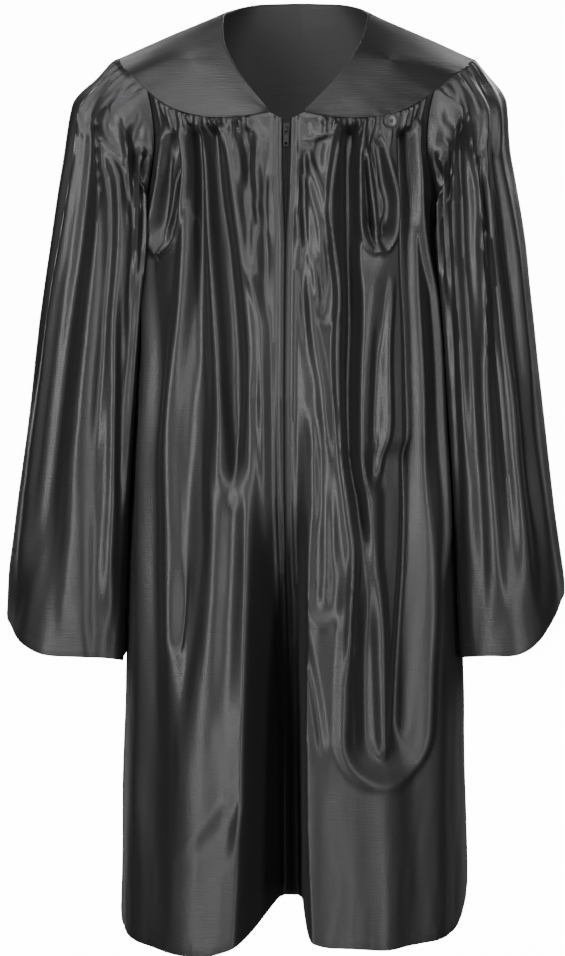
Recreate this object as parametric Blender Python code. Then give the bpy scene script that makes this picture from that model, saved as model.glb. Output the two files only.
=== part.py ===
"""A child's satin graduation gown, as it hangs when worn: a pointed yoke, gathered fronts and back,
wide sleeves, a front zip and one button under the yoke.

Frame: metres, +Z up, the wearer faces -Y, and +X is the wearer's left. The origin is the middle of the wearer's
neck base, level with the points where the neck edge meets the shoulder seams.
"""

import math
from collections import namedtuple

import bmesh
import bpy
import numpy as np
from mathutils import Matrix, Vector

MM = 0.001


def table(names, *rows):
    """The columns of a table, by name."""
    return {name: np.array(values) for name, values in zip(names.split(), zip(*rows))}


# Driving sizes, in millimetres
CLOTH = 1.0                 # thickness of every cloth wall
SEAM_GAP = 0.3              # what adjoining pieces keep between them
FACET = 0.08                # what flat facets may take from a gap on curved cloth
SEAM_DROP = 0.6             # how far under the yoke's edge the gathered cloth starts
SHOULDER_SHARE = 0.0014     # half the gap at the shoulder seams, as a share of the way round
SIDE_GAP_SHARE = 0.0007     # half the gap at the side seams, likewise
SLEEVE_SET = 0.7            # how far inside the armhole, and outside the body's wall, the sleeve's edge runs
SHAPE_POWER = 2.5           # how square the gown is seen from above: 2 is an ellipse
DEPTH_RATIO = 0.85          # the body's depth over its width, for sharing out the way round
BODY_FORWARD = 3.0          # the side line's distance behind the neck centre
UNDERARM_Z = -172.0
ARMHOLE_FRONT = {"x": 113.0, "z": -66.0}    # where the front armhole leaves the yoke
ARMHOLE_BACK = {"x": 112.0, "z": -80.0}
ARM_Z = -105.0              # the middle of the armhole's height
ZIP_TOP_Z = -83.0
YOKE_SWELL = (1.5, 5.5)     # how far the yoke rounds out between its two edges, in front and behind
YOKE_POINT_X = 14.0         # where the yoke's edge meets the neck edge at the front
BUTTON = {"x": 80.0, "drop": 6.6, "radius": 5.2, "thick": 2.4, "rim": 0.7}
ZIP = {"length": 610.0, "tape": 9.0, "coil": 4.2, "coil_thick": 1.4, "flat": 7.0}
# Half the gap between the two front edges: open over the slider and nearly shut below
ZIP_OPENING = table("z half", (-83.0, 3.0), (-118.0, 2.8), (-140.0, 2.0), (-185.0, 0.2), (-745.0, 0.2))
SLIDER = {"z": -89.5, "width": 5.0, "length": 9.4, "plate": 1.0, "back_plate": 0.8, "post": 1.8}
BRIDGE = {"width": 1.4, "length": 4.4, "height": 2.4, "wall": 0.7}
PULL = {"width": 4.2, "length": 13.0, "thick": 0.9, "bar": 0.5, "window": 3.9, "window_width": 2.4,
        "hole": 2.0, "axis_out": 0.95, "axis_along": -0.75}
STOP = {"width": 5.0, "height": 3.0, "thick": 1.8}

# Sections of the hanging body: height, half width, depth in front of and behind the side line
BODY = table(
    "z half front back",
    (-35.0, 143.0, 78.0, 64.0),
    (-60.0, 134.0, 84.0, 72.0),
    (-80.0, 128.0, 87.0, 78.0),
    (-110.0, 123.0, 91.0, 82.0),
    (-172.0, 122.0, 97.0, 87.0),
    (-240.0, 127.0, 104.0, 93.0),
    (-400.0, 136.0, 119.0, 104.0),
    (-560.0, 141.0, 134.0, 115.0),
    (-740.0, 146.0, 148.0, 126.0),
)
# The yoke's outer edge from the middle to the shoulder tip, in front and behind
YOKE_EDGE_FRONT = table("x z", (0.0, -76.0), (14.0, -76.0), (40.0, -79.5), (62.0, -80.0), (89.0, -77.0),
                        (108.0, -70.0), (122.0, -59.0), (133.0, -47.0), (143.0, -35.0))
YOKE_EDGE_BACK = table("x z", (0.0, -104.0), (50.0, -102.0), (90.0, -92.0), (112.0, -80.0), (126.0, -62.0),
                       (136.0, -47.0), (143.0, -35.0))
# The neck edge from the yoke's front point over the shoulder to the middle of the back
NECK_EDGE = table("x y z", (14.0, -80.5, -74.5), (42.0, -52.0, -43.0), (56.0, -25.0, -18.0), (59.0, 4.0, 0.0),
                  (53.0, 32.0, 4.0), (33.0, 50.0, 8.0), (0.0, 56.0, 9.0))
NECK_SHOULDER_POINT = 3     # the row above where the shoulder seam meets the neck edge
# The hem's height round the body. The share runs from the middle of the front (0) to the middle of the back
# (1, or -1 on the wearer's right)
HEM = table("share z", (-1.0, -738.0), (-0.5, -742.0), (-0.4, -750.0), (-0.3, -750.0), (-0.15, -748.0),
            (0.0, -728.0), (0.1, -738.0), (0.22, -743.0), (0.37, -745.0), (0.46, -734.0), (0.6, -731.0),
            (1.0, -738.0))
# The deep centre fold that swallows the zip towards the hem. Its sides rise over these widths beyond the flat
# band that the zip stiffens
CENTRE_FOLD = table(
    "z depth right left",
    (-300.0, 0.0, 20.0, 18.0),
    (-380.0, 12.0, 24.0, 18.0),
    (-440.0, 34.0, 27.0, 18.0),
    (-520.0, 64.0, 31.0, 19.0),
    (-620.0, 92.0, 35.0, 20.0),
    (-740.0, 112.0, 40.0, 22.0),
)

# A long fold. Its line is where it runs at each of FOLD_HEIGHTS, in millimetres to the wearer's left. It begins
# at one height and stops at another, is as wide as its two widths there, and stands out (or, below zero, goes in)
# by its height. Its low end fades over the last distance.
Fold = namedtuple("Fold", "line begin stop width height fade")
FOLD_HEIGHTS = (-90.0, -240.0, -440.0, -740.0)
FRONT_FOLDS = [Fold(*row) for row in (
    ((-99, -111, -111, -119), -84, -700, (11, 20), 6.5, 220),
    ((-84, -84, -91, -84), -84, -640, (9, 17), 5.5, 160),
    ((-92, -97, -100, -100), -88, -182, (9, 12), -6.0, 16),
    ((-72, -70, -74, -78), -88, -660, (12, 26), -9.0, 220),
    ((-60, -56, -51, -76), -84, -690, (9, 19), 5.5, 200),
    ((-47, -44, -42, -56), -88, -420, (9, 15), -6.0, 60),
    ((-38, -30, -30, -38), -84, -560, (9, 16), 5.0, 180),
    ((-20, -21, -16, -40), -110, -735, (8, 18), 4.0, 60),
    ((18, 20, 32, 34), -110, -520, (8, 14), 4.5, 90),
    ((26, 29, 40, 42), -120, -470, (6, 11), -4.5, 22),
    ((39, 40, 48, 52), -84, -600, (8, 17), 6.0, 60),
    ((51, 48, 58, 62), -88, -600, (9, 18), -8.5, 30),
    ((62, 66, 70, 95), -84, -700, (9, 19), 6.0, 240),
    ((72, 78, 80, 84), -88, -172, (9, 12), -6.5, 16),
    ((84, 88, 84, 92), -84, -300, (8, 12), 4.5, 120),
    ((94, 98, 98, 104), -88, -600, (12, 24), -9.0, 34),
    ((105, 116, 121, 116), -84, -640, (11, 20), 6.5, 120),
)]
BACK_FOLDS = [Fold(*row) for row in (
    ((-92, -100, -108, -112), -96, -900, (12, 24), 6.5, 180),
    ((-74, -78, -84, -88), -100, -820, (11, 24), -8.0, 160),
    ((-56, -58, -60, -60), -100, -900, (11, 26), 7.5, 60),
    ((-38, -40, -40, -40), -104, -860, (10, 22), -8.5, 240),
    ((-20, -18, -16, -10), -104, -900, (10, 28), 7.5, 60),
    ((0, 6, 10, 16), -106, -780, (10, 24), -9.5, 180),
    ((20, 26, 32, 40), -104, -900, (10, 26), 6.5, 60),
    ((40, 46, 52, 60), -102, -850, (11, 22), -9.0, 250),
    ((60, 66, 74, 84), -100, -900, (11, 26), 7.0, 60),
    ((78, 86, 94, 104), -98, -720, (11, 22), -7.5, 140),
    ((95, 104, 110, 118), -96, -700, (12, 22), 6.0, 180),
)]
# Short gathers under the yoke: how many to each side of the middle, their height and how far down they reach
GATHERS = {"front": 9, "back": 10, "sleeve": 7, "height": 1.5, "sleeve_height": 1.8, "reach": (18.0, 46.0)}

# Sleeve sections: height, reach from the gown's middle on the wearer's right and left, depth in front of and
# behind the arm
SLEEVE = table(
    "z right left front back",
    (-35.0, 160.0, 152.0, 40.0, 44.0),
    (-66.0, 171.0, 160.0, 54.0, 54.0),
    (-110.0, 184.0, 169.0, 60.0, 57.0),
    (-172.0, 195.0, 181.0, 64.0, 62.0),
    (-240.0, 205.0, 190.0, 68.0, 66.0),
    (-400.0, 227.0, 210.0, 73.0, 72.0),
    (-520.0, 245.0, 227.0, 76.0, 76.0),
)
SLEEVE_MIDDLE_Y = 2.0
SLEEVE_TUCK = 14.0          # how far the sleeve would reach past the body's side if the body were not there
# The sleeve's distance from the body, at its sewn edge and so far below it
SLEEVE_CLEAR = {"top": 0.4, "low": 3.0, "over": 14.0}
# How far below its sewn edge the sleeve takes up its hanging form
SLEEVE_SETTLE = {"yoke": 50.0, "armhole": 26.0}
# How squarely each sleeve wraps the body in front of and behind its middle, and how square its outer side is:
# less is squarer
SLEEVE_WRAP = {"right": (0.45, 0.60), "left": (0.80, 0.42), "outside": 0.85}
# Cuff heights at the outer, front, inner and back points
CUFF_HEIGHTS = {"right": (-496.0, -519.0, -533.0, -520.0), "left": (-475.0, -512.0, -525.0, -510.0)}
# Sleeve folds. Their line is the turn round the sleeve at its top and cuff: 0 outside, 0.25 in front, 0.5 inside
# and 0.75 behind. They begin and stop at distances below the sewn edge.
SLEEVE_LENGTH = 480.0
SLEEVE_FOLDS = {
    "right": [Fold(*row) for row in (
        ((0.055, 0.060), 6, 470, (10, 26), 5.0, 90),
        ((0.105, 0.125), 10, 440, (9, 24), -6.0, 120),
        ((0.150, 0.175), 6, 470, (8, 20), 4.5, 110),
        ((0.200, 0.215), 8, 78, (8, 10), -5.0, 14),
        ((0.235, 0.245), 6, 430, (8, 20), 4.5, 150),
        ((0.290, 0.290), 20, 400, (12, 22), -6.0, 150),
        ((0.660, 0.680), 20, 440, (12, 24), 5.0, 120),
        ((0.740, 0.760), 10, 430, (10, 24), -6.0, 120),
        ((0.810, 0.830), 6, 470, (9, 24), 5.0, 110),
        ((0.880, 0.890), 10, 430, (9, 24), -5.0, 120),
        ((0.945, 0.955), 6, 460, (9, 22), 4.0, 110),
    )],
    "left": [Fold(*row) for row in (
        ((0.060, 0.070), 6, 460, (10, 26), 4.5, 100),
        ((0.110, 0.120), 10, 430, (9, 24), -6.0, 120),
        ((0.165, 0.155), 6, 480, (8, 22), 6.0, 60),
        ((0.195, 0.200), 8, 84, (8, 10), -5.0, 14),
        ((0.235, 0.225), 10, 440, (9, 24), -6.0, 150),
        ((0.285, 0.275), 20, 430, (10, 20), 4.0, 150),
        ((0.670, 0.690), 20, 440, (12, 24), 5.0, 120),
        ((0.745, 0.770), 10, 430, (10, 24), -6.0, 120),
        ((0.820, 0.840), 6, 470, (9, 24), 5.0, 110),
        ((0.885, 0.900), 10, 430, (9, 24), -5.0, 120),
        ((0.950, 0.960), 6, 460, (9, 22), 4.0, 110),
    )],
}

# How finely each wall is divided. Rows crowd towards the top by the power
GRID = {"valley": 8, "front": 16, "armhole": 7, "rows": 18, "back": 21, "back_rows": 16, "sleeve_rows": 16,
        "shoulder": 11, "yoke_rows": 4, "power": 1.35}
VALLEY_SHARE = 0.145        # the share of the way round where the centre fold's finer columns end

SATIN = {"color": (0.016, 0.016, 0.017, 1.0), "roughness": 0.34, "metallic": 0.0}
ZIP_CLOTH = {"color": (0.012, 0.012, 0.013, 1.0), "roughness": 0.8, "metallic": 0.0}
ZIP_COIL = {"color": (0.014, 0.014, 0.015, 1.0), "roughness": 0.45, "metallic": 0.0}
ZIP_METAL = {"color": (0.05, 0.05, 0.052, 1.0), "roughness": 0.4, "metallic": 0.6}
PLASTIC = {"color": (0.02, 0.02, 0.021, 1.0), "roughness": 0.35, "metallic": 0.0}


def smooth(x, xs, ys):
    """A smooth curve through (xs, ys) that never overshoots its points."""
    xs, ys = np.asarray(xs, float), np.asarray(ys, float)
    if xs[0] > xs[-1]:
        xs, ys = xs[::-1], ys[::-1]
    step = np.diff(xs)
    slope = np.diff(ys) / step
    tangent = np.zeros_like(xs)
    tangent[0], tangent[-1] = slope[0], slope[-1]
    same = slope[:-1] * slope[1:] > 0
    harmonic = 2 * slope[:-1] * slope[1:] / np.where(same, slope[:-1] + slope[1:], 1.0)
    tangent[1:-1] = np.where(same, harmonic, 0.0)
    x = np.clip(np.asarray(x, float), xs[0], xs[-1])
    k = np.clip(np.searchsorted(xs, x) - 1, 0, len(xs) - 2)
    t = (x - xs[k]) / step[k]
    return (ys[k] * (1 + 2 * t) * (1 - t) ** 2 + tangent[k] * step[k] * t * (1 - t) ** 2
            + ys[k + 1] * t * t * (3 - 2 * t) + tangent[k + 1] * step[k] * t * t * (t - 1))


def ramp(x):
    """0 below 0, 1 above 1, and a smooth rise between."""
    x = np.clip(x, 0.0, 1.0)
    return x * x * (3 - 2 * x)


def bump(t):
    """A soft ridge: 1 at 0, and 0 from 1 outwards."""
    return np.cos(np.clip(t, -1, 1) * math.pi / 2) ** 2


def half_outline(samples=721):
    """The gown's outline from above on one side, from the front (share 0) to the back (share 1). The side is at x = 1.
    It gives the share of the outline's length, and x and y at each point. y is -1 in front and 1 behind."""
    turn = np.linspace(0, math.pi, samples)
    x = np.abs(np.sin(turn)) ** (2 / SHAPE_POWER)
    y = -np.sign(np.cos(turn)) * np.abs(np.cos(turn)) ** (2 / SHAPE_POWER)
    length = np.concatenate([[0], np.cumsum(np.hypot(np.diff(x), DEPTH_RATIO * np.diff(y)))])
    return length / length[-1], x, y


OUTLINE_SHARE, OUTLINE_X, OUTLINE_Y = half_outline()
SIDE_SHARE = float(OUTLINE_SHARE[len(OUTLINE_SHARE) // 2])


def body_size(z):
    """Half width, front depth, back depth and half the way round, at that height."""
    half, front, back = (smooth(z, BODY["z"], BODY[name]) for name in ("half", "front", "back"))
    return half, front, back, 1.36 * half + 0.72 * (front + back)


def share_of_x(x, z, back=False):
    """The share round the body where its plain section is x to the left of the middle."""
    ratio = np.clip(np.abs(x) / body_size(z)[0], 0, 1)
    middle = len(OUTLINE_SHARE) // 2
    if back:
        found = np.interp(ratio, OUTLINE_X[middle:][::-1], OUTLINE_SHARE[middle:][::-1])
    else:
        found = np.interp(ratio, OUTLINE_X[:middle + 1], OUTLINE_SHARE[:middle + 1])
    return np.where(np.asarray(x) < 0, -found, found)


def hem_z(share):
    return smooth(share, HEM["share"], HEM["z"])


def yoke_edge_z(share):
    """The height of the yoke's outer edge at a share round the body."""
    side = np.abs(share)
    tip = YOKE_EDGE_FRONT["z"][-1]
    front = smooth(side, share_of_x(YOKE_EDGE_FRONT["x"], tip), YOKE_EDGE_FRONT["z"])
    behind = smooth(side, share_of_x(YOKE_EDGE_BACK["x"], tip, back=True), YOKE_EDGE_BACK["z"])
    return np.where(side <= SIDE_SHARE, front, behind)


ARMHOLE_START = float(share_of_x(ARMHOLE_FRONT["x"], ARMHOLE_FRONT["z"]))
ARMHOLE_END = float(share_of_x(ARMHOLE_BACK["x"], ARMHOLE_BACK["z"], back=True))
FRONT_START_Z = float(yoke_edge_z(ARMHOLE_START))
BACK_START_Z = float(yoke_edge_z(ARMHOLE_END))
YOKE_POINT_SHARE = float(share_of_x(YOKE_POINT_X, ZIP_TOP_Z))


def armhole_point(turn):
    """Share and height on the armhole: turn 0 at the front yoke, 1 underarm, 2 at the back yoke."""
    turn = np.asarray(turn, float)
    angle = np.clip(turn, 0, 1) * math.pi / 2
    share = ARMHOLE_START + (SIDE_SHARE - ARMHOLE_START) * (1 - np.cos(angle))
    z = FRONT_START_Z + (UNDERARM_Z - FRONT_START_Z) * np.sin(angle)
    angle = np.clip(2 - turn, 0, 1) * math.pi / 2
    share_back = ARMHOLE_END + (SIDE_SHARE - ARMHOLE_END) * (1 - np.cos(angle))
    z_back = BACK_START_Z + (UNDERARM_Z - BACK_START_Z) * np.sin(angle)
    return np.where(turn <= 1, share, share_back), np.where(turn <= 1, z, z_back)


def body_top(share):
    """The height of the body's upper edge: the neck edge beside the zip, the yoke seam, then the armhole."""
    side = np.abs(np.asarray(share, float))
    top = yoke_edge_z(side)
    top = top + (ZIP_TOP_Z - top) * (1 - np.clip(side / YOKE_POINT_SHARE, 0, 1))
    front = (side > ARMHOLE_START) & (side <= SIDE_SHARE)
    behind = (side < ARMHOLE_END) & (side > SIDE_SHARE)
    away = np.clip((side - ARMHOLE_START) / (SIDE_SHARE - ARMHOLE_START), 0, 1)
    away_back = np.clip((side - ARMHOLE_END) / (SIDE_SHARE - ARMHOLE_END), 0, 1)
    drop = np.sqrt(1 - (1 - away) ** 2)
    drop_back = np.sqrt(1 - (1 - away_back) ** 2)
    top = np.where(front, FRONT_START_Z + (UNDERARM_Z - FRONT_START_Z) * drop, top)
    return np.where(behind, BACK_START_Z + (UNDERARM_Z - BACK_START_Z) * drop_back, top)


def long_folds(share, z, folds, back):
    """How far the folds stand out at each point. The rise at a fold's upper end takes 22 mm."""
    way_round = body_size(z)[3]
    out = np.zeros_like(z)
    for fold in folds:
        apart = share - share_of_x(smooth(z, FOLD_HEIGHTS, fold.line), z, back)
        apart = (apart + 1) % 2 - 1
        size = np.interp(z, (fold.stop, fold.begin), (fold.width[1], fold.width[0]))
        reach = ramp((fold.begin - z) / 22.0) * ramp((z - fold.stop) / fold.fade)
        out = out + fold.height * bump(apart * way_round / size) * reach
    return out


def uneven(number):
    """A repeatable spread between 0 and 1, for folds that are never quite alike."""
    return (number * 0.6180339887 + 0.37) % 1.0


def gathers(place, below, count, height):
    """Short gathers along a seam. place runs 0 to 1 along it, and below is the distance under it."""
    out = np.zeros_like(below)
    for number in range(count):
        middle = (number + 0.25 + 0.5 * uneven(number)) / count
        reach = GATHERS["reach"][0] + (GATHERS["reach"][1] - GATHERS["reach"][0]) * uneven(number + 5)
        size = (0.30 + 0.14 * uneven(number + 9)) / count
        fade = ramp(below / 5.0) * (1 - ramp(below / reach))
        out = out + height * (0.7 + 0.6 * uneven(number + 3)) * bump((place - middle) / size) * fade
    return out


def centre_fold(share, z):
    """The deep fold. The zip and the bands beside it stay flat at its bottom."""
    depth, right, left = (smooth(z, CENTRE_FOLD["z"], CENTRE_FOLD[name]) for name in ("depth", "right", "left"))
    off = share * body_size(z)[3]
    past = np.maximum(np.abs(off) - ZIP["flat"], 0)
    return -depth * bump(past / np.where(off < 0, right, left))


def fold_depth(share, z):
    """How far the cloth of the body stands out from its plain section. The folds die out towards the seams, the
    armholes and the button, so that what is sewn there lies flat."""
    side = np.abs(share)
    below = body_top(share) - z
    front = long_folds(share, z, FRONT_FOLDS, False) * ramp((SIDE_SHARE - 0.03 - side) / 0.05)
    back = long_folds(share, z, BACK_FOLDS, True) * ramp((side - SIDE_SHARE - 0.03) / 0.05)
    first = 2 * YOKE_POINT_SHARE
    front_place = (side - first) / (ARMHOLE_START - first)
    back_place = (1 - side) / (1 - ARMHOLE_END)
    small = np.where(side < SIDE_SHARE, gathers(front_place, below, GATHERS["front"], GATHERS["height"]),
                     gathers(back_place, below, GATHERS["back"], GATHERS["height"]))
    across = (share - button_share()) * body_size(z)[3]
    beside_button = np.hypot(across, z - button_height())
    calm = ramp((beside_button - BUTTON["radius"]) / 7.0)
    calm = calm * ramp(armhole_distance(share, z) / 14.0)
    seam = ramp(below / 9.0)
    return (front + back) * seam * calm + small * calm + centre_fold(share, z)


def armhole_distance(share, z):
    """How far a point of the body lies from the armhole's edge."""
    side = np.abs(share)
    front = side < SIDE_SHARE
    start = np.where(front, ARMHOLE_START, ARMHOLE_END)
    start_z = np.where(front, FRONT_START_Z, BACK_START_Z)
    drop = np.clip((start_z - z) / (start_z - UNDERARM_Z), 0, 1)
    edge = start + (SIDE_SHARE - start) * (1 - np.sqrt(1 - drop * drop))
    across = np.where(front, edge - side, side - edge) * body_size(z)[3]
    return np.hypot(np.maximum(across, 0), np.maximum(UNDERARM_Z - z, 0))


def button_share():
    return float(share_of_x(BUTTON["x"], -90.0))


def button_height():
    return float(yoke_edge_z(button_share())) - BUTTON["drop"]


def outline_at(share):
    side = np.abs(share)
    x = np.interp(side, OUTLINE_SHARE, OUTLINE_X) * np.sign(share)
    return x, np.interp(side, OUTLINE_SHARE, OUTLINE_Y)


def plain_body(share, z):
    """A point of the body's plain section, with no folds."""
    half, front, back, _ = body_size(z)
    x, y = outline_at(share)
    return np.stack([x * half, BODY_FORWARD + y * np.where(y < 0, front, back), z], -1)


def unit(vectors):
    return vectors / np.maximum(np.linalg.norm(vectors, axis=-1, keepdims=True), 1e-9)


def plan_normal(share):
    """The direction out of the plain section, seen from above."""
    step = 0.004
    x0, y0 = outline_at(share - step)
    x1, y1 = outline_at(share + step)
    return unit(np.stack([(y1 - y0) * DEPTH_RATIO, x0 - x1, np.zeros_like(x0)], -1))


def body_point(share, z):
    share, z = np.broadcast_arrays(np.asarray(share, float), np.asarray(z, float))
    return plain_body(share, z) + plan_normal(share) * fold_depth(share, z)[..., None]


def normals(surface, a, b, step_a=0.0008, step_b=-0.25):
    """Unit normals of surface(a, b), by small steps along a and, down the cloth, along b."""
    across = surface(a + step_a, b) - surface(a - step_a, b)
    down = surface(a, b + step_b) - surface(a, b - step_b)
    return unit(np.cross(down, across))


def wall_mesh(name, outer, inner, closed=False):
    """A closed solid between two grids of points, rows down and columns across, with rims at its open edges."""
    rows, columns, _ = outer.shape
    mesh = bmesh.new()
    skins = [[[mesh.verts.new(p * MM) for p in row] for row in grid] for grid in (outer, inner)]
    last = columns if closed else columns - 1
    for r in range(rows - 1):
        for c in range(last):
            d = (c + 1) % columns
            for skin, order in ((skins[0], (0, 1, 2, 3)), (skins[1], (3, 2, 1, 0))):
                corners = (skin[r][c], skin[r + 1][c], skin[r + 1][d], skin[r][d])
                mesh.faces.new([corners[k] for k in order])
    for c in range(last):
        d = (c + 1) % columns
        mesh.faces.new((skins[0][0][d], skins[1][0][d], skins[1][0][c], skins[0][0][c]))
        mesh.faces.new((skins[0][-1][c], skins[1][-1][c], skins[1][-1][d], skins[0][-1][d]))
    if not closed:
        for r in range(rows - 1):
            mesh.faces.new((skins[0][r][0], skins[1][r][0], skins[1][r + 1][0], skins[0][r + 1][0]))
            mesh.faces.new((skins[0][r + 1][-1], skins[1][r + 1][-1], skins[1][r][-1], skins[0][r][-1]))
    bmesh.ops.triangulate(mesh, faces=mesh.faces)
    if mesh.calc_volume(signed=True) < 0:
        bmesh.ops.reverse_faces(mesh, faces=mesh.faces)
    return finish_mesh(name, mesh)


def finish_mesh(name, mesh):
    data = bpy.data.meshes.new(name)
    mesh.to_mesh(data)
    mesh.free()
    thing = bpy.data.objects.new(name, data)
    bpy.context.scene.collection.objects.link(thing)
    return thing


def material(name, look):
    made = bpy.data.materials.new(name)
    made.use_nodes = True
    shader = made.node_tree.nodes["Principled BSDF"]
    shader.inputs["Base Color"].default_value = look["color"]
    shader.inputs["Roughness"].default_value = look["roughness"]
    shader.inputs["Metallic"].default_value = look["metallic"]
    return made


def dress(thing, look, smooth_angle=40.0):
    thing.data.materials.append(look)
    thing.data.shade_smooth()
    thing.data.set_sharp_from_angle(angle=math.radians(smooth_angle))
    return thing


def share_beside_zip(distance, z):
    """The shares round the body that lie that far from the centre front, measured along the folded cloth."""
    distance = np.broadcast_to(distance, np.shape(z))
    found = []
    for far, height in zip(distance, z):
        fine = np.linspace(0, 0.12, 241)
        points = body_point(fine * np.sign(far), np.full_like(fine, height))
        length = np.concatenate([[0], np.cumsum(np.linalg.norm(np.diff(points, axis=0), axis=1))])
        found.append(np.interp(abs(far), length, fine) * np.sign(far))
    return np.array(found)


def zip_gap(z):
    return smooth(z, ZIP_OPENING["z"], ZIP_OPENING["half"])


def row_heights(shares, rows):
    """Heights for each row and column, closer together under the yoke, where the gathers are."""
    top, low = body_top(shares) - SEAM_DROP, hem_z(shares)
    return top + (low - top) * crowded(rows)[:, None]


def crowded(rows):
    """Shares of the way down for that many rows, close together at the top, with one more next to the seam."""
    way = np.linspace(0, 1, rows) ** GRID["power"]
    return np.concatenate([[0, 0.35 * way[1]], way[1:]])


def front_grid(side):
    """Shares and heights over one front. The first columns keep their distance from the zip."""
    seam = np.linspace(VALLEY_SHARE, ARMHOLE_START, GRID["front"])
    armhole = armhole_point(np.linspace(0, 1, GRID["armhole"] + 1))[0][1:]
    armhole[-1] -= SIDE_GAP_SHARE
    z_centre = row_heights(np.zeros(1), GRID["rows"])[:, 0]
    edge = ZIP["coil"] / 2 + SEAM_GAP
    distances = (zip_gap(z_centre), np.maximum(edge, zip_gap(z_centre) + 0.4), edge + ZIP["tape"] / 2,
                 edge + ZIP["tape"])
    band = np.stack([np.abs(share_beside_zip(side * d, z_centre)) for d in distances], -1)
    steps = np.linspace(0, 1, GRID["valley"] + 1)[1:-1]
    valley = band[:, -1:] + (seam[0] - band[:, -1:]) * steps
    rest = np.broadcast_to(np.concatenate([seam, armhole]), (len(z_centre), len(seam) + len(armhole)))
    shares = side * np.concatenate([band, valley, rest], axis=1)
    return shares, row_heights(shares, GRID["rows"])


def build_front(name, side, look):
    shares, z = front_grid(side)
    outer = body_point(shares, z)
    inner = outer - CLOTH * normals(body_point, shares, z)
    return dress(wall_mesh(name, outer, inner), look)


def back_columns():
    """The shares of the back's columns on one side, from the side seam up the armhole and on to the middle."""
    return np.concatenate([armhole_point(np.linspace(1, 2, GRID["armhole"] + 1))[0],
                           np.linspace(ARMHOLE_END, 1, GRID["back"])[1:]])


def build_back(look):
    half = back_columns()
    half[0] += SIDE_GAP_SHARE
    shares = np.concatenate([half, 2 - half[-2::-1]])
    wrapped = np.where(shares > 1, shares - 2, shares)
    z = row_heights(wrapped, GRID["back_rows"])
    share_grid = np.broadcast_to(shares, z.shape)

    def surface(share, height):
        return body_point((share + 1) % 2 - 1, height)

    outer = surface(share_grid, z)
    inner = outer - CLOTH * normals(surface, share_grid, z)
    return dress(wall_mesh("back", outer, inner), look)


def neck_point(share):
    """The neck edge at a share round the gown, from the yoke's front point to the middle of the back."""
    points = np.stack([NECK_EDGE[name] for name in "xyz"], -1)
    length = np.concatenate([[0], np.cumsum(np.linalg.norm(np.diff(points, axis=0), axis=1))])
    shoulder = length[NECK_SHOULDER_POINT]
    side = np.abs(share)
    in_front = (side - YOKE_POINT_SHARE) / (SIDE_SHARE - YOKE_POINT_SHARE) * shoulder
    behind = shoulder + (side - SIDE_SHARE) / (1 - SIDE_SHARE) * (length[-1] - shoulder)
    way = np.where(side < SIDE_SHARE, in_front, behind)
    x, y, z = (smooth(way, length, points[:, k]) for k in range(3))
    return np.stack([x * np.sign(share), y, z], -1)


def yoke_point(share, way):
    """A point of the yoke: way 0 at the neck edge and 100 at the outer edge."""
    share, way = np.broadcast_arrays(np.asarray(share, float), np.asarray(way, float) / 100)
    wrapped = (share + 1) % 2 - 1
    edge = plain_body(wrapped, yoke_edge_z(wrapped))
    neck = neck_point(wrapped)
    side = np.abs(wrapped)
    swell = YOKE_SWELL[0] + (YOKE_SWELL[1] - YOKE_SWELL[0]) * ramp((side - 0.58) / 0.3)
    swell = swell * np.sin(np.pi * way) * ramp((side - 0.04) / 0.2)
    lean = np.cos(np.pi * side)
    out = np.stack([0.25 * np.sign(wrapped) * np.sin(np.pi * side), -0.8 * lean, 0.6 + 0 * lean], -1)
    return neck + (edge - neck) * way[..., None] + out * swell[..., None]


def yoke_normals(share, way):
    """Yoke normals that turn to the body's at the outer edge, so that the seam's two walls stay parallel."""
    blend = ramp((np.broadcast_to(way, np.broadcast(share, way).shape)[..., None] - 70) / 30)
    own = normals(yoke_point, share, way, step_a=0.002, step_b=0.5)
    return unit(own * (1 - blend) + plan_normal((share + 1) % 2 - 1) * blend)


def shoulder_shares(armhole):
    """Shares along the yoke's edge over the sleeve, from the shoulder tip to where the armhole starts."""
    return SIDE_SHARE + (armhole - SIDE_SHARE) * np.linspace(0, 1, GRID["shoulder"] + 1)


def build_yokes(look):
    """The two front yokes, from just outside their points to the shoulder seams, and the back yoke. Their columns
    match those of the panels and sleeves that are sewn to them."""
    ways = np.linspace(0, 100, GRID["yoke_rows"] + 1)[:, None]
    seam = front_grid(1)[0][0]
    seam = seam[(seam > YOKE_POINT_SHARE + 0.008) & (seam < ARMHOLE_START - 0.001)]
    front = np.concatenate([[YOKE_POINT_SHARE + 0.003], seam, shoulder_shares(ARMHOLE_START)[::-1]])
    front[-1] -= SHOULDER_SHARE
    behind = np.concatenate([shoulder_shares(ARMHOLE_END), back_columns()[GRID["armhole"] + 1:]])
    behind[0] += SHOULDER_SHARE
    for name, shares in (
        ("yoke_front_right", -front),
        ("yoke_front_left", front),
        ("yoke_back", np.concatenate([behind, 2 - behind[-2::-1]])),
    ):
        outer = yoke_point(shares[None, :], ways)
        inner = outer - CLOTH * yoke_normals(shares[None, :], ways)
        dress(wall_mesh(name, outer, inner), look)


def body_side_x(y, z):
    """How far out the body's plain side reaches at a given depth and height."""
    half, front, back, _ = body_size(z)
    deep = np.abs(y - BODY_FORWARD) / np.where(y < BODY_FORWARD, front, back)
    return half * np.maximum(1 - np.clip(deep, 0, 1) ** SHAPE_POWER, 0) ** (1 / SHAPE_POWER)


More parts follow.
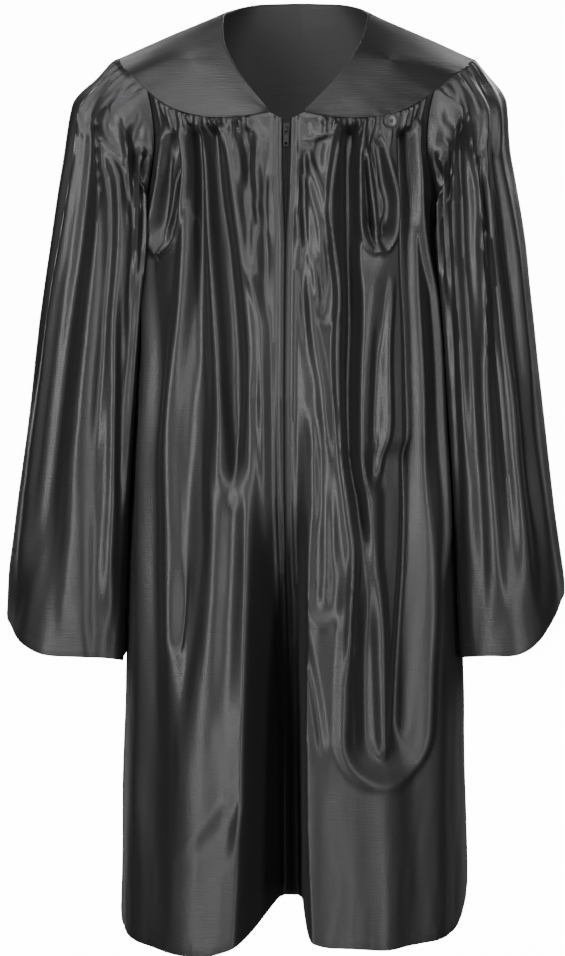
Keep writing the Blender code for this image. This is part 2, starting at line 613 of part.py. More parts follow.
def sewn_share(turn):
    """Where the sleeve's sewn edge meets the gown: along the front yoke edge (turn 0 to 0.25), down and up the
    armhole (to 0.75), and back along the back yoke edge."""
    on_front = SIDE_SHARE + (ARMHOLE_START - SIDE_SHARE) * np.clip(turn * 4, 0, 1)
    on_back = SIDE_SHARE + (ARMHOLE_END - SIDE_SHARE) * np.clip((1 - turn) * 4, 0, 1)
    share, z = armhole_point(np.clip(turn * 4 - 1, 0, 2))
    share = np.where(turn < 0.25, on_front, np.where(turn > 0.75, on_back, share))
    return share, np.where(on_yoke(turn), yoke_edge_z(share), z)


def on_yoke(turn):
    return (turn <= 0.25) | (turn >= 0.75)


def sleeve_ring(turn):
    """The sleeve's sewn edge on the wearer's left, a little inside the armhole and outside the body's wall."""
    share, z = sewn_share(turn)
    from_yoke = on_yoke(turn)[..., None]
    point = plain_body(share, z)
    point = point + np.where(from_yoke, 0.0, SLEEVE_SET) * plan_normal(share)
    to_middle = unit(np.stack([0 * z, SLEEVE_MIDDLE_Y - point[..., 1], ARM_Z - point[..., 2]], -1))
    away = np.array([0.65, 0.0, -0.75])
    return point + SLEEVE_SET * np.where(from_yoke, away, to_middle)


def cuff_z(name, turn):
    heights = np.array([*CUFF_HEIGHTS[name], CUFF_HEIGHTS[name][0]])
    quarter = np.floor(turn * 4).astype(int) % 4
    return heights[quarter] + (heights[quarter + 1] - heights[quarter]) * ramp(turn * 4 - quarter)


def hanging_sleeve(name, turn, below, z):
    """x and y of the sleeve where it hangs free. It wraps the body's side but stays clear of it."""
    outer, front, back = (smooth(z, SLEEVE["z"], SLEEVE[key]) for key in (name, "front", "back"))
    inner = body_side_x(SLEEVE_MIDDLE_Y, z) - SLEEVE_TUCK
    angle = turn * 2 * math.pi
    out_x, out_y = np.cos(angle), -np.sin(angle)
    power = np.where(out_x > 0, SLEEVE_WRAP["outside"], np.where(out_y < 0, *SLEEVE_WRAP[name]))
    x = (outer + inner) / 2 + (outer - inner) / 2 * np.sign(out_x) * np.abs(out_x) ** power
    y = SLEEVE_MIDDLE_Y + out_y * np.where(out_y < 0, front, back)
    stand = sleeve_folds(name, turn, below, z)
    x, y = x + out_x * stand, y + out_y * stand
    lift = ramp(below / SLEEVE_CLEAR["over"])
    clear = body_side_x(y, z) + SLEEVE_CLEAR["top"] + (SLEEVE_CLEAR["low"] - SLEEVE_CLEAR["top"]) * lift
    over, soft = x - clear, 3.0
    eased = clear + (over + np.sqrt(over * over + soft * soft)) / 2 - soft / 2 * ramp(1 - below / 10.0)
    return np.maximum(eased, clear), y


def sleeve_point(side, turn, drop):
    """A point of the sleeve on one side (1 is the wearer's left). drop runs 0 to 100 from sewn edge to cuff."""
    name = "left" if side > 0 else "right"
    turn, drop = np.broadcast_arrays(np.asarray(turn) % 1.0, np.clip(np.asarray(drop) / 100, 0, 1))
    ring = sleeve_ring(turn)
    z = ring[..., 2] + (cuff_z(name, turn) - ring[..., 2]) * drop
    below = ring[..., 2] - z
    x, y = hanging_sleeve(name, turn, below, z)
    distance = np.where(on_yoke(turn), SLEEVE_SETTLE["yoke"], SLEEVE_SETTLE["armhole"])
    settle = np.sin(np.clip(below / distance, 0, 1) * math.pi / 2)
    ring_x, ring_y = ring[..., 0], ring[..., 1]
    return np.stack([side * (ring_x + (x - ring_x) * settle), ring_y + (y - ring_y) * settle, z], -1)


def sleeve_folds(name, turn, below, z):
    """How far the sleeve's folds and the gathers along its yoke seams stand out."""
    out = np.zeros_like(z)
    way_round = smooth(z, SLEEVE["z"][[0, -1]], (300.0, 400.0))
    for fold in SLEEVE_FOLDS[name]:
        middle = np.interp(below, (0, SLEEVE_LENGTH), fold.line)
        off = ((turn - middle + 0.5) % 1.0 - 0.5) * way_round
        size = np.interp(below, (fold.begin, fold.stop), fold.width)
        reach = ramp((below - fold.begin) / 20.0) * ramp((fold.stop - below) / fold.fade)
        out = out + fold.height * bump(off / size) * reach
    count, height = GATHERS["sleeve"], GATHERS["sleeve_height"]
    front = gathers(turn * 4, below, count, height) * (turn < 0.25)
    back = gathers((1 - turn) * 4, below, count, height) * (turn > 0.75)
    return out + front + back


def build_sleeve(name, side, look):
    """A closed tube of cloth. Its wall at the yoke seam lies parallel to the yoke's."""
    shoulder = np.linspace(0, 0.25, GRID["shoulder"] + 1)
    armhole = np.linspace(0.25, 0.75, 2 * GRID["armhole"] + 1)
    turns = np.concatenate([shoulder, armhole[1:], 1 - shoulder[-2:0:-1]])[None, :]
    ways = 100 * crowded(GRID["sleeve_rows"])[:, None]

    def surface(turn, drop):
        return sleeve_point(side, turn, drop)

    outer = surface(turns, ways)
    out = -side * normals(surface, turns, ways, step_a=0.004, step_b=0.3)
    seam_out = plan_normal(sewn_share(turns)[0]) * np.array([side, 1, 1])
    out[:1] = np.where(on_yoke(turns)[..., None], seam_out, out[:1])
    return dress(wall_mesh(name, outer, outer - CLOTH * out, closed=True), look)


def band_wall(name, shares, z, behind, thick, look):
    """A strip of cloth or coil that lies inside the fronts, made from their own points moved in."""
    points = body_point(shares, z)
    out = normals(body_point, shares, z)
    outer = points - behind * out
    return dress(wall_mesh(name, outer, outer - thick * out), look)


def zip_rows():
    """The rows of the front's grid that the zip spans, and their heights at the centre front."""
    z = row_heights(np.zeros(1), GRID["rows"])[:, 0]
    line = body_point(np.zeros_like(z), z)
    length = np.concatenate([[0], np.cumsum(np.linalg.norm(np.diff(line, axis=0), axis=1))])
    last = int(np.argmin(np.abs(length - ZIP["length"])))
    return slice(1, last + 1), z[1:last + 1]


def build_zip_bands(tape_look, coil_look):
    """The two tapes and the closed coil, behind the front edges."""
    rows, heights = zip_rows()
    behind = CLOTH + SEAM_GAP + FACET
    for name, side in (("zip_tape_right", -1), ("zip_tape_left", 1)):
        shares, z = front_grid(side)
        shares, z = shares[rows, 1:4].copy(), z[rows, 1:4]
        shares[:, 0] = share_beside_zip(side * (ZIP["coil"] / 2 + SEAM_GAP), z[:, 0])
        band_wall(name, shares, z, behind, CLOTH, tape_look)
    shares = np.stack([share_beside_zip(side * ZIP["coil"] / 2, heights) for side in (-1, 1)], -1)
    z = np.broadcast_to(heights[:, None], shares.shape).copy()
    z[0] = SLIDER["z"] + SLIDER["length"] / 2 - SLIDER["post"] - 2 * SEAM_GAP
    band_wall("zip_coil", shares, z, behind, ZIP["coil_thick"], coil_look)


def zip_place(z):
    """A point on the closed zip's line in metres, and the turn that takes +Y into the gown and +Z up the zip."""
    point = body_point(0.0, z) * MM
    out = normals(body_point, 0.0, z)
    along = np.cross([1.0, 0.0, 0.0], -out)
    turn = Matrix(np.stack([[1.0, 0.0, 0.0], -out, along], axis=1).tolist())
    return Vector(point), turn


def block(name, outline, near, far, axis="y"):
    """A closed prism: an outline of (x, z) pairs that runs from near to far along y, or of (y, z) pairs along x."""
    mesh = bmesh.new()
    rings = []
    for depth in (near, far):
        points = [(a, depth, b) if axis == "y" else (depth, a, b) for a, b in outline]
        rings.append([mesh.verts.new(Vector(p) * MM) for p in points])
    mesh.faces.new(rings[0])
    mesh.faces.new(rings[1][::-1])
    for k in range(len(outline)):
        j = (k + 1) % len(outline)
        mesh.faces.new((rings[0][j], rings[0][k], rings[1][k], rings[1][j]))
    if mesh.calc_volume(signed=True) < 0:
        bmesh.ops.reverse_faces(mesh, faces=mesh.faces)
    return finish_mesh(name, mesh)


def rounded(width, low, high, corner, steps=3):
    """A rectangle with round corners, as (x, z) pairs."""
    points = []
    for x, z, start in ((1, 1, 0), (-1, 1, 90), (-1, -1, 180), (1, -1, 270)):
        centre_x = x * (width / 2 - corner)
        centre_z = (high if z > 0 else low) - z * corner
        for k in range(steps + 1):
            angle = math.radians(start + 90 * k / steps)
            points.append((centre_x + corner * math.cos(angle), centre_z + corner * math.sin(angle)))
    return points


def combine(thing, others, operation):
    """Joins or cuts the thing with each of the others, which stay as hidden tools."""
    for tool in others:
        modifier = thing.modifiers.new(tool.name, "BOOLEAN")
        modifier.operation, modifier.solver, modifier.object = operation, "EXACT", tool
        tool.hide_render, tool.display_type = True, "WIRE"
        tool.parent = thing


def build_slider(metal):
    """The slider at the zip's top: two plates round the coil, a post between them and a bridge for the pull."""
    place, turn = zip_place(SLIDER["z"])
    half = SLIDER["length"] / 2
    behind_coil = CLOTH + SEAM_GAP + FACET + ZIP["coil_thick"] + SEAM_GAP
    plate = rounded(SLIDER["width"], -half, half, 1.1)
    slider = block("zip_slider", plate, 0, SLIDER["plate"])
    back = block("slider_back_plate", plate, behind_coil, behind_coil + SLIDER["back_plate"])
    post = block("slider_post", rounded(2.4, half - SLIDER["post"], half - 0.2, 0.5), SLIDER["plate"] / 2,
                 behind_coil + SLIDER["back_plate"] / 2)
    long, high, wall = BRIDGE["length"] / 2, BRIDGE["height"], BRIDGE["wall"]
    arch = [(0.5, -long), (-high + 0.8, -long), (-high, -long + 0.8), (-high, long - 0.8), (-high + 0.8, long),
            (0.5, long)]
    bridge = block("slider_bridge", arch, -BRIDGE["width"] / 2, BRIDGE["width"] / 2, axis="x")
    inner, crown = long - wall, -high + wall
    eye = block("bridge_eye", [(-0.02, -inner), (crown, -inner), (crown, inner), (-0.02, inner)],
                -BRIDGE["width"], BRIDGE["width"], axis="x")
    combine(slider, (post, back, bridge), "UNION")
    combine(slider, (eye,), "DIFFERENCE")
    slider.matrix_world = Matrix.Translation(place) @ turn.to_4x4()
    return dress(slider, metal, 30.0)


def build_pull(metal):
    """The pull tab. Its origin is on its bar's axis, inside the slider's bridge."""
    place, turn = zip_place(SLIDER["z"])
    axis = place + turn @ (Vector((0, -PULL["axis_out"], PULL["axis_along"])) * MM)
    half = PULL["thick"] / 2
    low = PULL["bar"] - PULL["length"]
    outline = rounded(PULL["width"], low, PULL["bar"], 0.9)
    pull = block("zip_pull", outline, -half, half)
    window = block("pull_window", rounded(PULL["window_width"], -PULL["window"], -PULL["bar"], 0.3), -2, 2)
    hole = block("pull_hole", rounded(PULL["hole"], low + 0.9, low + 0.9 + 1.2 * PULL["hole"], 0.8), -2, 2)
    combine(pull, (window, hole), "DIFFERENCE")
    pull.matrix_world = Matrix.Translation(axis) @ turn.to_4x4()
    return dress(pull, metal, 30.0)


def build_stop(metal):
    """The bottom stop, just under the coil's end."""
    rows, heights = zip_rows()
    place, turn = zip_place(float(heights[-1]) - SEAM_GAP - STOP["height"] / 2)
    near = CLOTH + SEAM_GAP + FACET
    outline = rounded(STOP["width"], -STOP["height"] / 2, STOP["height"] / 2, 0.6)
    stop = block("zip_stop", outline, near, near + STOP["thick"])
    stop.matrix_world = Matrix.Translation(place) @ turn.to_4x4()
    return dress(stop, metal, 30.0)


def build_button(look):
    """The round button on the wearer's left, just under the yoke, for a hood or a collar to fasten to."""
    share, z = button_share(), button_height()
    out = Vector(normals(body_point, share, z))
    base = Vector(body_point(share, z)) * MM + out * (SEAM_GAP + 3 * FACET) * MM
    radius, thick, rim = BUTTON["radius"], BUTTON["thick"], BUTTON["rim"]
    profile = [(radius - 0.9, 0.0), (radius, 0.6), (radius, thick - 0.8), (radius - rim, thick),
               (radius * 0.55, thick - 0.6)]
    sides = 20
    mesh = bmesh.new()
    rings = [[mesh.verts.new(Vector((r * math.cos(a), r * math.sin(a), h)) * MM)
              for a in (2 * math.pi * k / sides for k in range(sides))] for r, h in profile]
    mesh.faces.new(rings[0][::-1])
    mesh.faces.new(rings[-1])
    for lower, upper in zip(rings, rings[1:]):
        for k in range(sides):
            j = (k + 1) % sides
            mesh.faces.new((lower[k], lower[j], upper[j], upper[k]))
    button = finish_mesh("button", mesh)
    button.matrix_world = Matrix.Translation(base) @ out.to_track_quat("Z", "Y").to_matrix().to_4x4()
    return dress(button, look, 30.0)


def clear_scene():
    for thing in list(bpy.data.objects):
        bpy.data.objects.remove(thing)


def main():
    clear_scene()
    satin = material("satin", SATIN)
    metal = material("zip_metal", ZIP_METAL)
    build_front("front_right", -1, satin)
    build_front("front_left", 1, satin)
    build_back(satin)
    build_yokes(satin)
    build_sleeve("sleeve_right", -1, satin)
    build_sleeve("sleeve_left", 1, satin)
    build_zip_bands(material("zip_tape", ZIP_CLOTH), material("zip_coil", ZIP_COIL))
    build_slider(metal)
    build_pull(metal)
    build_stop(metal)
    build_button(material("button", PLASTIC))


main()
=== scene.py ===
"""The looks of a child's satin graduation gown on an invisible wearer: thin cloth shells with their folds, the sewing,
the zip and the button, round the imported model.

Frame: metres, +Z up, the wearer faces -Y, and +X is the wearer's left. Sizes below are in millimetres.
"""

import math
from collections import namedtuple

import bmesh
import bpy
import numpy as np
from mathutils import Matrix, Vector


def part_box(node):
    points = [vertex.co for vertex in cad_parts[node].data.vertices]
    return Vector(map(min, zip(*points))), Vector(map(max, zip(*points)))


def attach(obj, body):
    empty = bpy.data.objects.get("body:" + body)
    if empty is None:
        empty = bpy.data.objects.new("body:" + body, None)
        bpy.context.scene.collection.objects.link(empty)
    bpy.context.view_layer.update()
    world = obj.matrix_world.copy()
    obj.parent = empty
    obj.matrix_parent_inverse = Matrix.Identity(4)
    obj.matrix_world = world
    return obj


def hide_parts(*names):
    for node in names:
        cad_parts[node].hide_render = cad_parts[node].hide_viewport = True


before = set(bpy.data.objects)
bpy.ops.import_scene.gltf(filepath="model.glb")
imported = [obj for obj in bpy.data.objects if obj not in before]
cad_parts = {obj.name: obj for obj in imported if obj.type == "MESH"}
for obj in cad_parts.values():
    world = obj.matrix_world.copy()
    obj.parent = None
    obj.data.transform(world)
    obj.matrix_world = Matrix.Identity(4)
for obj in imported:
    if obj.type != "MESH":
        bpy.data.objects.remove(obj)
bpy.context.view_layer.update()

MM = 0.001


def table(names, *rows):
    """The columns of a table, by name."""
    return {name: np.array(values) for name, values in zip(names.split(), zip(*rows))}


# The cloth, the sewing and the zip's teeth, which this script adds
CLOTH = 0.5                 # thickness of the satin with its inner face
HEM = {"turned": 10.0, "thick": 1.4}
# Small puckers just above the hem, and how far up they end and over what distance they fade
HEM_PUCKERS = {"height": 0.25, "wide": 4.0, "long": 40.0, "reach": (14.0, 8.0)}
EDGE = {"roll": 1.1, "drop": 0.5}
# The turned band beside the zip: ridges and the hollows of its stitches, by distance from the edge, half width, height
PLACKET = ((1.8, 1.8, 0.8), (4.9, 2.0, -0.6), (7.8, 1.8, 0.7), (10.4, 1.4, -0.3))
PLACKET_STITCHES = ((4.9, 0.75), (10.2, 0.35))
STITCH = {"apart": 2.6, "length": 1.9, "radius": 0.19, "sides": 5}
SUNKEN = 0.25               # how deep the stitches of hem and cuffs lie in the cloth
TOOTH = {"past": 0.7, "height": 0.62, "sides": 6}     # how far its head goes past the middle
SEAM = {"tuck": 0.8, "over": 3.5, "lap": 1.2, "groove": 1.0, "groove_width": 2.6}
ZIP_BEHIND = 1.38           # how far behind the cloth's outer face the zip lies

# The gown's sizes, as in the model's source
SHAPE_POWER = 2.5
DEPTH_RATIO = 0.85
BODY_FORWARD = 3.0
WAY_ROUND = (1.36, 0.72)    # half the way round the body, for its half width and for its depth
UNDERARM_Z = -172.0
ARMHOLE_FRONT = {"x": 113.0, "z": -66.0}
ARMHOLE_BACK = {"x": 112.0, "z": -80.0}
ARM_Z = -105.0
ZIP_TOP_Z = -83.0
YOKE_SWELL = (1.5, 5.5)
# The yoke's soft waves and the puckers along its seam: random seed, height, how wide they are, and how many go down it
YOKE_WAVES = ((31, 0.5, 40.0, 2.2), (32, 0.18, 14.0, 6.0))
YOKE_PUCKERS = ((33, 0.35, 5.5, 3.0),)
YOKE_GROOVE = {"depth": 0.7, "width": 2.2}      # at the shoulder seam
YOKE_POINT_X = 14.0
YOKE_LENGTH = 75.0          # the depth that its turned edges are measured by
BUTTON = {"x": 80.0, "z": -90.0, "drop": 6.6, "radius": 5.2, "thick": 2.4, "rim": 0.9, "dish": 0.85,
          "hole": 0.55, "hole_apart": 1.15, "sides": 48}
ZIP = {"tape": 9.0, "coil": 4.2, "flat": 7.0, "pitch": 1.25}
ZIP_REACH = ZIP["coil"] / 2 + 0.3 + ZIP["tape"]     # how far to each side its tapes go
ZIP_OPENING = table("z half", (-83.0, 3.0), (-118.0, 2.8), (-140.0, 2.0), (-185.0, 0.12), (-300.0, 0.0), (-745.0, 0.0))

BODY = table(
    "z half front back",
    (-35.0, 143.0, 78.0, 64.0),
    (-60.0, 134.0, 84.0, 72.0),
    (-80.0, 128.0, 87.0, 78.0),
    (-110.0, 123.0, 91.0, 82.0),
    (-172.0, 122.0, 97.0, 87.0),
    (-240.0, 127.0, 104.0, 93.0),
    (-400.0, 136.0, 119.0, 104.0),
    (-560.0, 141.0, 134.0, 115.0),
    (-740.0, 146.0, 148.0, 126.0),
)
YOKE_EDGE_FRONT = table("x z", (0.0, -76.0), (14.0, -76.0), (40.0, -79.5), (62.0, -80.0), (89.0, -77.0),
                        (108.0, -70.0), (122.0, -59.0), (133.0, -47.0), (143.0, -35.0))
YOKE_EDGE_BACK = table("x z", (0.0, -104.0), (50.0, -102.0), (90.0, -92.0), (112.0, -80.0), (126.0, -62.0),
                       (136.0, -47.0), (143.0, -35.0))
NECK_EDGE = table("x y z", (14.0, -80.5, -74.5), (42.0, -52.0, -43.0), (56.0, -25.0, -18.0), (59.0, 4.0, 0.0),
                  (53.0, 32.0, 4.0), (33.0, 50.0, 8.0), (0.0, 56.0, 9.0))
NECK_SHOULDER_POINT = 3
HEM_LINE = table("share z", (-1.0, -738.0), (-0.5, -742.0), (-0.4, -750.0), (-0.3, -750.0), (-0.15, -748.0),
                 (0.0, -728.0), (0.1, -738.0), (0.22, -743.0), (0.37, -745.0), (0.46, -734.0), (0.6, -731.0),
                 (1.0, -738.0))
CENTRE_FOLD = table(
    "z depth right left",
    (-300.0, 0.0, 18.0, 14.0),
    (-380.0, 12.0, 19.0, 13.0),
    (-440.0, 34.0, 19.0, 11.0),
    (-520.0, 64.0, 20.0, 11.0),
    (-620.0, 92.0, 22.0, 12.0),
    (-740.0, 112.0, 27.0, 17.0),
)

# A crease runs down the cloth through its line's points: how far to the wearer's left (or, on a sleeve, the turn
# round it) and how far down. It is as wide as its two half widths and as high as its two heights at its ends, goes
# in where those are below zero, is steeper on one side by its lean, and fades over its two ends.
Crease = namedtuple("Crease", "line width height lean fade")
SOFT = 1.35                 # how much wider every crease is than its listed half widths
# A tongue is a hollow with a round lower end and a ridge for a rim: its middle line, its half width at both ends,
# the length of its round end, and the depth inside and the rim's height and half width.
Tongue = namedtuple("Tongue", "line half end depth rim rim_width")
# It widens this much faster than its length, begins over so many millimetres, its walls are so many rim widths wide,
# and its rim begins at these shares of its length
TONGUE = {"widening": 1.6, "start": 22.0, "wall": 2.2, "rim_from": 0.12, "rim_over": 0.4}

FRONT_CREASES = [Crease(*row) for row in (
    # The wearer's right, from the side to the zip
    (((-98, 87), (-106, 108), (-115, 150), (-114, 220), (-112, 298), (-115, 362), (-118, 520), (-119, 640)),
     (5, 17), (6, 3), 0.2, (14, 220)),
    (((-86, 84), (-80, 130), (-80, 170), (-82, 217), (-87, 270), (-93, 350), (-93, 420), (-90, 500), (-86, 600)),
     (4.5, 13), (5, 5), -0.2, (14, 150)),
    (((-75, 84), (-73, 140), (-71, 264), (-71, 343), (-70, 418)), (8, 11), (-13, -5), 0, (12, 160)),
    (((-71, 264), (-71, 343), (-70, 440), (-74, 520)), (5, 8), (2, 2), 0, (60, 80)),
    (((-70, 81), (-67, 104), (-63, 137), (-59, 185), (-54, 247), (-50, 309), (-43, 371), (-39, 395)),
     (4.5, 6.5), (5.5, 5), -0.3, (10, 40)),
    (((-60, 84), (-55, 140), (-47, 190), (-40, 260), (-38, 330), (-39, 375)), (6, 9), (-9, -9), 0, (12, 24)),
    (((-26, 250), (-28, 284), (-31, 316), (-36, 371), (-39, 395)), (4, 6), (3.5, 4), 0.2, (50, 30)),
    (((-62, 301), (-58, 333), (-55, 372), (-52, 417), (-57, 486), (-64, 535), (-71, 622)),
     (7, 16), (3, 5.5), 0.1, (60, 110)),
    (((-52, 81), (-46, 104), (-40, 142), (-34, 180), (-30, 208), (-25, 254), (-21, 308), (-23, 362), (-28, 411),
      (-29, 508), (-36, 582)), (4, 12), (5, 3), -0.1, (10, 120)),
    (((-43, 86), (-36, 120), (-30, 150), (-24, 190), (-20, 230)), (3, 4), (2.5, 2), 0, (10, 40)),
    (((-32, 192), (-26, 207), (-18, 246), (-15, 324), (-13, 416), (-12, 508), (-18, 569), (-23, 618), (-31, 645),
      (-40, 690)), (3.5, 10), (3.5, 5), 0.2, (20, 60)),
    (((-32, 84), (-29, 150), (-25, 200)), (5, 5), (-4, -3), 0, (10, 50)),
    (((-21, 92), (-25, 114), (-21, 145), (-24, 184), (-21, 230)), (3.5, 5), (2.4, 2.6), 0, (12, 50)),
    (((-16, 120), (-18, 150), (-15, 190), (-17, 250)), (3, 4), (-3, -2.4), 0, (20, 60)),
    (((-33, 80), (-25, 87), (-15, 97)), (3, 3), (-1.1, -0.9), 0, (3, 5)),
    (((-30, 86), (-22, 93), (-16, 103)), (2.6, 2.6), (0.9, 0.7), 0, (4, 6)),
    (((-18, 96), (-20, 112), (-28, 142)), (3.6, 4.6), (1.5, 1.6), 0, (10, 24)),
    (((-28, 98), (-31, 125), (-34, 160)), (3.6, 4), (-2, -1.8), 0, (12, 26)),
    (((-27, 140), (-21, 155), (-15, 176)), (3.4, 3.4), (2.2, 2.2), 0, (10, 14)),
    (((42, 89), (29, 94), (14, 100)), (3, 3), (1.6, 1.4), 0, (3, 3)),
    (((16, 82), (17, 90), (21, 99)), (2.6, 2.6), (-1.2, -1), 0, (4, 6)),
    (((22, 80), (26, 86), (36, 90)), (2.4, 2.4), (-1, -1), 0, (3, 4)),
    (((28, 78), (31, 82), (38, 85)), (2.2, 2.2), (0.9, 0.8), 0, (3, 4)),
    (((30, 92), (25, 110), (26, 126)), (4, 4), (-3, -2.4), 0, (8, 12)),
    (((15, 100), (14, 150), (15, 220), (20, 300)), (2.6, 3.6), (-3.4, -2.4), 0, (12, 80)),
    (((-79, 420), (-82, 479), (-84, 508)), (6, 5), (-4, -4.5), -0.4, (60, 12)),
    (((-31, 596), (-48, 627), (-73, 659), (-98, 690)), (6, 7), (0.6, 0.5), 0.3, (30, 40)),
    (((-30, 606), (-47, 637), (-72, 669), (-96, 698)), (7, 7), (-0.7, -0.6), 0, (30, 40)),
    # The wearer's left, from the zip to the side
    (((11, 97), (17, 110), (29, 141), (34, 166), (38, 184), (40, 205)), (3.5, 3.5), (2.4, 1.6), -0.2, (8, 26)),
    (((11, 117), (19, 136), (26, 161), (30, 186), (33, 226)), (2.6, 3), (1.5, 1.5), 0, (10, 24)),
    (((9, 150), (13, 177), (20, 191), (28, 232)), (2.6, 3), (1.2, 1.4), 0, (16, 20)),
    (((10, 145), (13, 184), (20, 230), (28, 277), (36, 323), (42, 370), (46, 415), (47, 443)),
     (3, 6), (2.5, 3.5), 0, (20, 30)),
    (((43, 81), (39, 106), (35, 145), (38, 184), (42, 222), (41, 261), (44, 323), (52, 394), (55, 420), (53, 483),
      (52, 530)), (3.4, 4.4), (5.5, 5), 0.2, (8, 50)),
    (((52, 84), (50, 130), (51, 184), (53, 240), (52, 290), (53, 340), (59, 380), (63, 410), (67, 440)),
     (6, 6), (-12, -9), 0, (12, 50)),
    (((68, 190), (66, 215), (62, 277), (60, 324), (63, 360), (72, 380), (73, 425), (77, 460), (80, 496), (82, 592)),
     (11, 4.5), (4.5, 5.5), 0, (30, 14)),
    (((84, 196), (81, 262), (82, 317), (78, 347), (73, 375)), (3.5, 4), (3.5, 3.5), 0, (40, 20)),
    (((73, 230), (72, 290), (71, 340)), (4, 4), (-3, -3), 0, (50, 16)),
    (((93, 86), (95, 140), (96, 185), (100, 260), (102, 330), (104, 400), (101, 480), (94, 592)),
     (6, 9.5), (-12, -9), 0, (12, 30)),
    (((68, 440), (67, 500), (70, 592)), (7, 8), (-5, -6), 0, (60, 26)),
    (((98, 185), (106, 280), (109, 327), (108, 400)), (5, 6), (1.5, 1.5), 0, (40, 60)),
    (((103, 81), (102, 104), (104, 154), (108, 186), (116, 226), (120, 282), (123, 346), (125, 409), (122, 470)),
     (4, 5.5), (5.5, 5), 0.1, (8, 60)),
    (((111, 88), (113, 132), (117, 175)), (2.6, 2.6), (2.4, 1.6), 0, (12, 16)),
    (((118, 92), (119, 162)), (2.2, 2.2), (2, 1.8), 0, (12, 20)),
    (((13, 478), (20, 505), (28, 545), (33, 582)), (4, 4), (-3, -2.4), 0.3, (16, 16)),
    (((6, 490), (13, 520), (20, 560), (24, 600)), (6, 8), (1.6, 1.6), 0, (20, 30)),
)]
FRONT_TONGUES = [Tongue(*row) for row in (
    (((-92, 82), (-93, 110), (-99, 150), (-105, 190)), (7, 15), 22, 8.0, 2.4, 4.6),
    (((67, 80), (69, 112), (73, 145), (74, 186)), (6, 13), 28, 8.5, 2.6, 4.6),
    (((33, 150), (34, 200), (33, 242)), (5, 8), 16, 2.4, 1.2, 4.6),
    (((30, 330), (30, 400), (33, 478)), (12, 17), 34, 3.6, 1.6, 9.5),
    (((88, 330), (88, 394), (86, 483), (84, 530), (83, 608)), (29, 32), 40, 7.0, 4.0, 8.5),
)]
TONGUE_CREASES = [Crease(*row) for row in (
    (((-90, 115), (-97, 155), (-103, 173), (-105, 192)), (2.6, 3.2), (4.6, 5.0), 0, (20, 10)),
    (((63, 100), (70, 145), (73, 176), (74, 188)), (2.6, 3.2), (5.0, 5.4), 0, (16, 8)),
    (((-98, 104), (-105, 140), (-110, 178)), (3.4, 4), (-4, -4), 0, (14, 12)),
    (((-86, 108), (-89, 140), (-93, 176)), (2.4, 3), (-3, -3), 0, (14, 12)),
    (((72, 94), (79, 130), (83, 150), (80, 178)), (3, 3.6), (-4.5, -4.5), 0, (12, 10)),
    (((61, 100), (64, 140), (69, 172)), (2.4, 2.8), (-3, -3), 0, (12, 10)),
    (((20, 301), (24, 344), (26, 410)), (4, 4), (2.4, 1.6), 0, (30, 30)),
    (((27, 285), (32, 333), (34, 379), (34, 470)), (4, 5), (2.8, 3), 0, (30, 14)),
)]
# The broad, soft folds that carry on down to the hem
FRONT_BROAD = [Crease(*row) for row in (
    (((-113, 180), (-114, 300), (-118, 520), (-120, 740), (-120, 780)), (14, 26), (2, 5), 0, (160, 60)),
    (((-101, 200), (-104, 360), (-103, 560), (-104, 760)), (10, 20), (-4, -4), 0, (120, 160)),
    (((-86, 220), (-94, 391), (-90, 528), (-84, 700), (-82, 800)), (14, 30), (3, 5), 0.1, (140, 60)),
    (((-73, 260), (-74, 440), (-76, 620)), (10, 18), (-5, -4), 0, (100, 140)),
    (((-58, 260), (-55, 372), (-53, 450), (-60, 560), (-66, 700), (-66, 800)), (12, 28), (3, 5), -0.1, (120, 60)),
    (((-40, 380), (-44, 480), (-50, 600)), (12, 18), (-5, -4), 0, (60, 140)),
    (((-26, 300), (-28, 480), (-34, 620), (-38, 800)), (10, 22), (3, 5), 0, (140, 60)),
    (((22, 330), (34, 450), (34, 600), (36, 800)), (14, 26), (2, 4), 0, (120, 60)),
    (((62, 300), (70, 480), (76, 640), (82, 800)), (16, 34), (1, 4), 0, (160, 60)),
    (((48, 560), (56, 680), (62, 800)), (16, 22), (-2, -3), 0, (100, 60)),
    (((104, 420), (106, 560), (108, 680), (110, 800)), (16, 24), (-3, -4), 0, (120, 60)),
    (((119, 300), (122, 480), (122, 640), (124, 800)), (12, 24), (3, 4), 0, (120, 60)),
)]
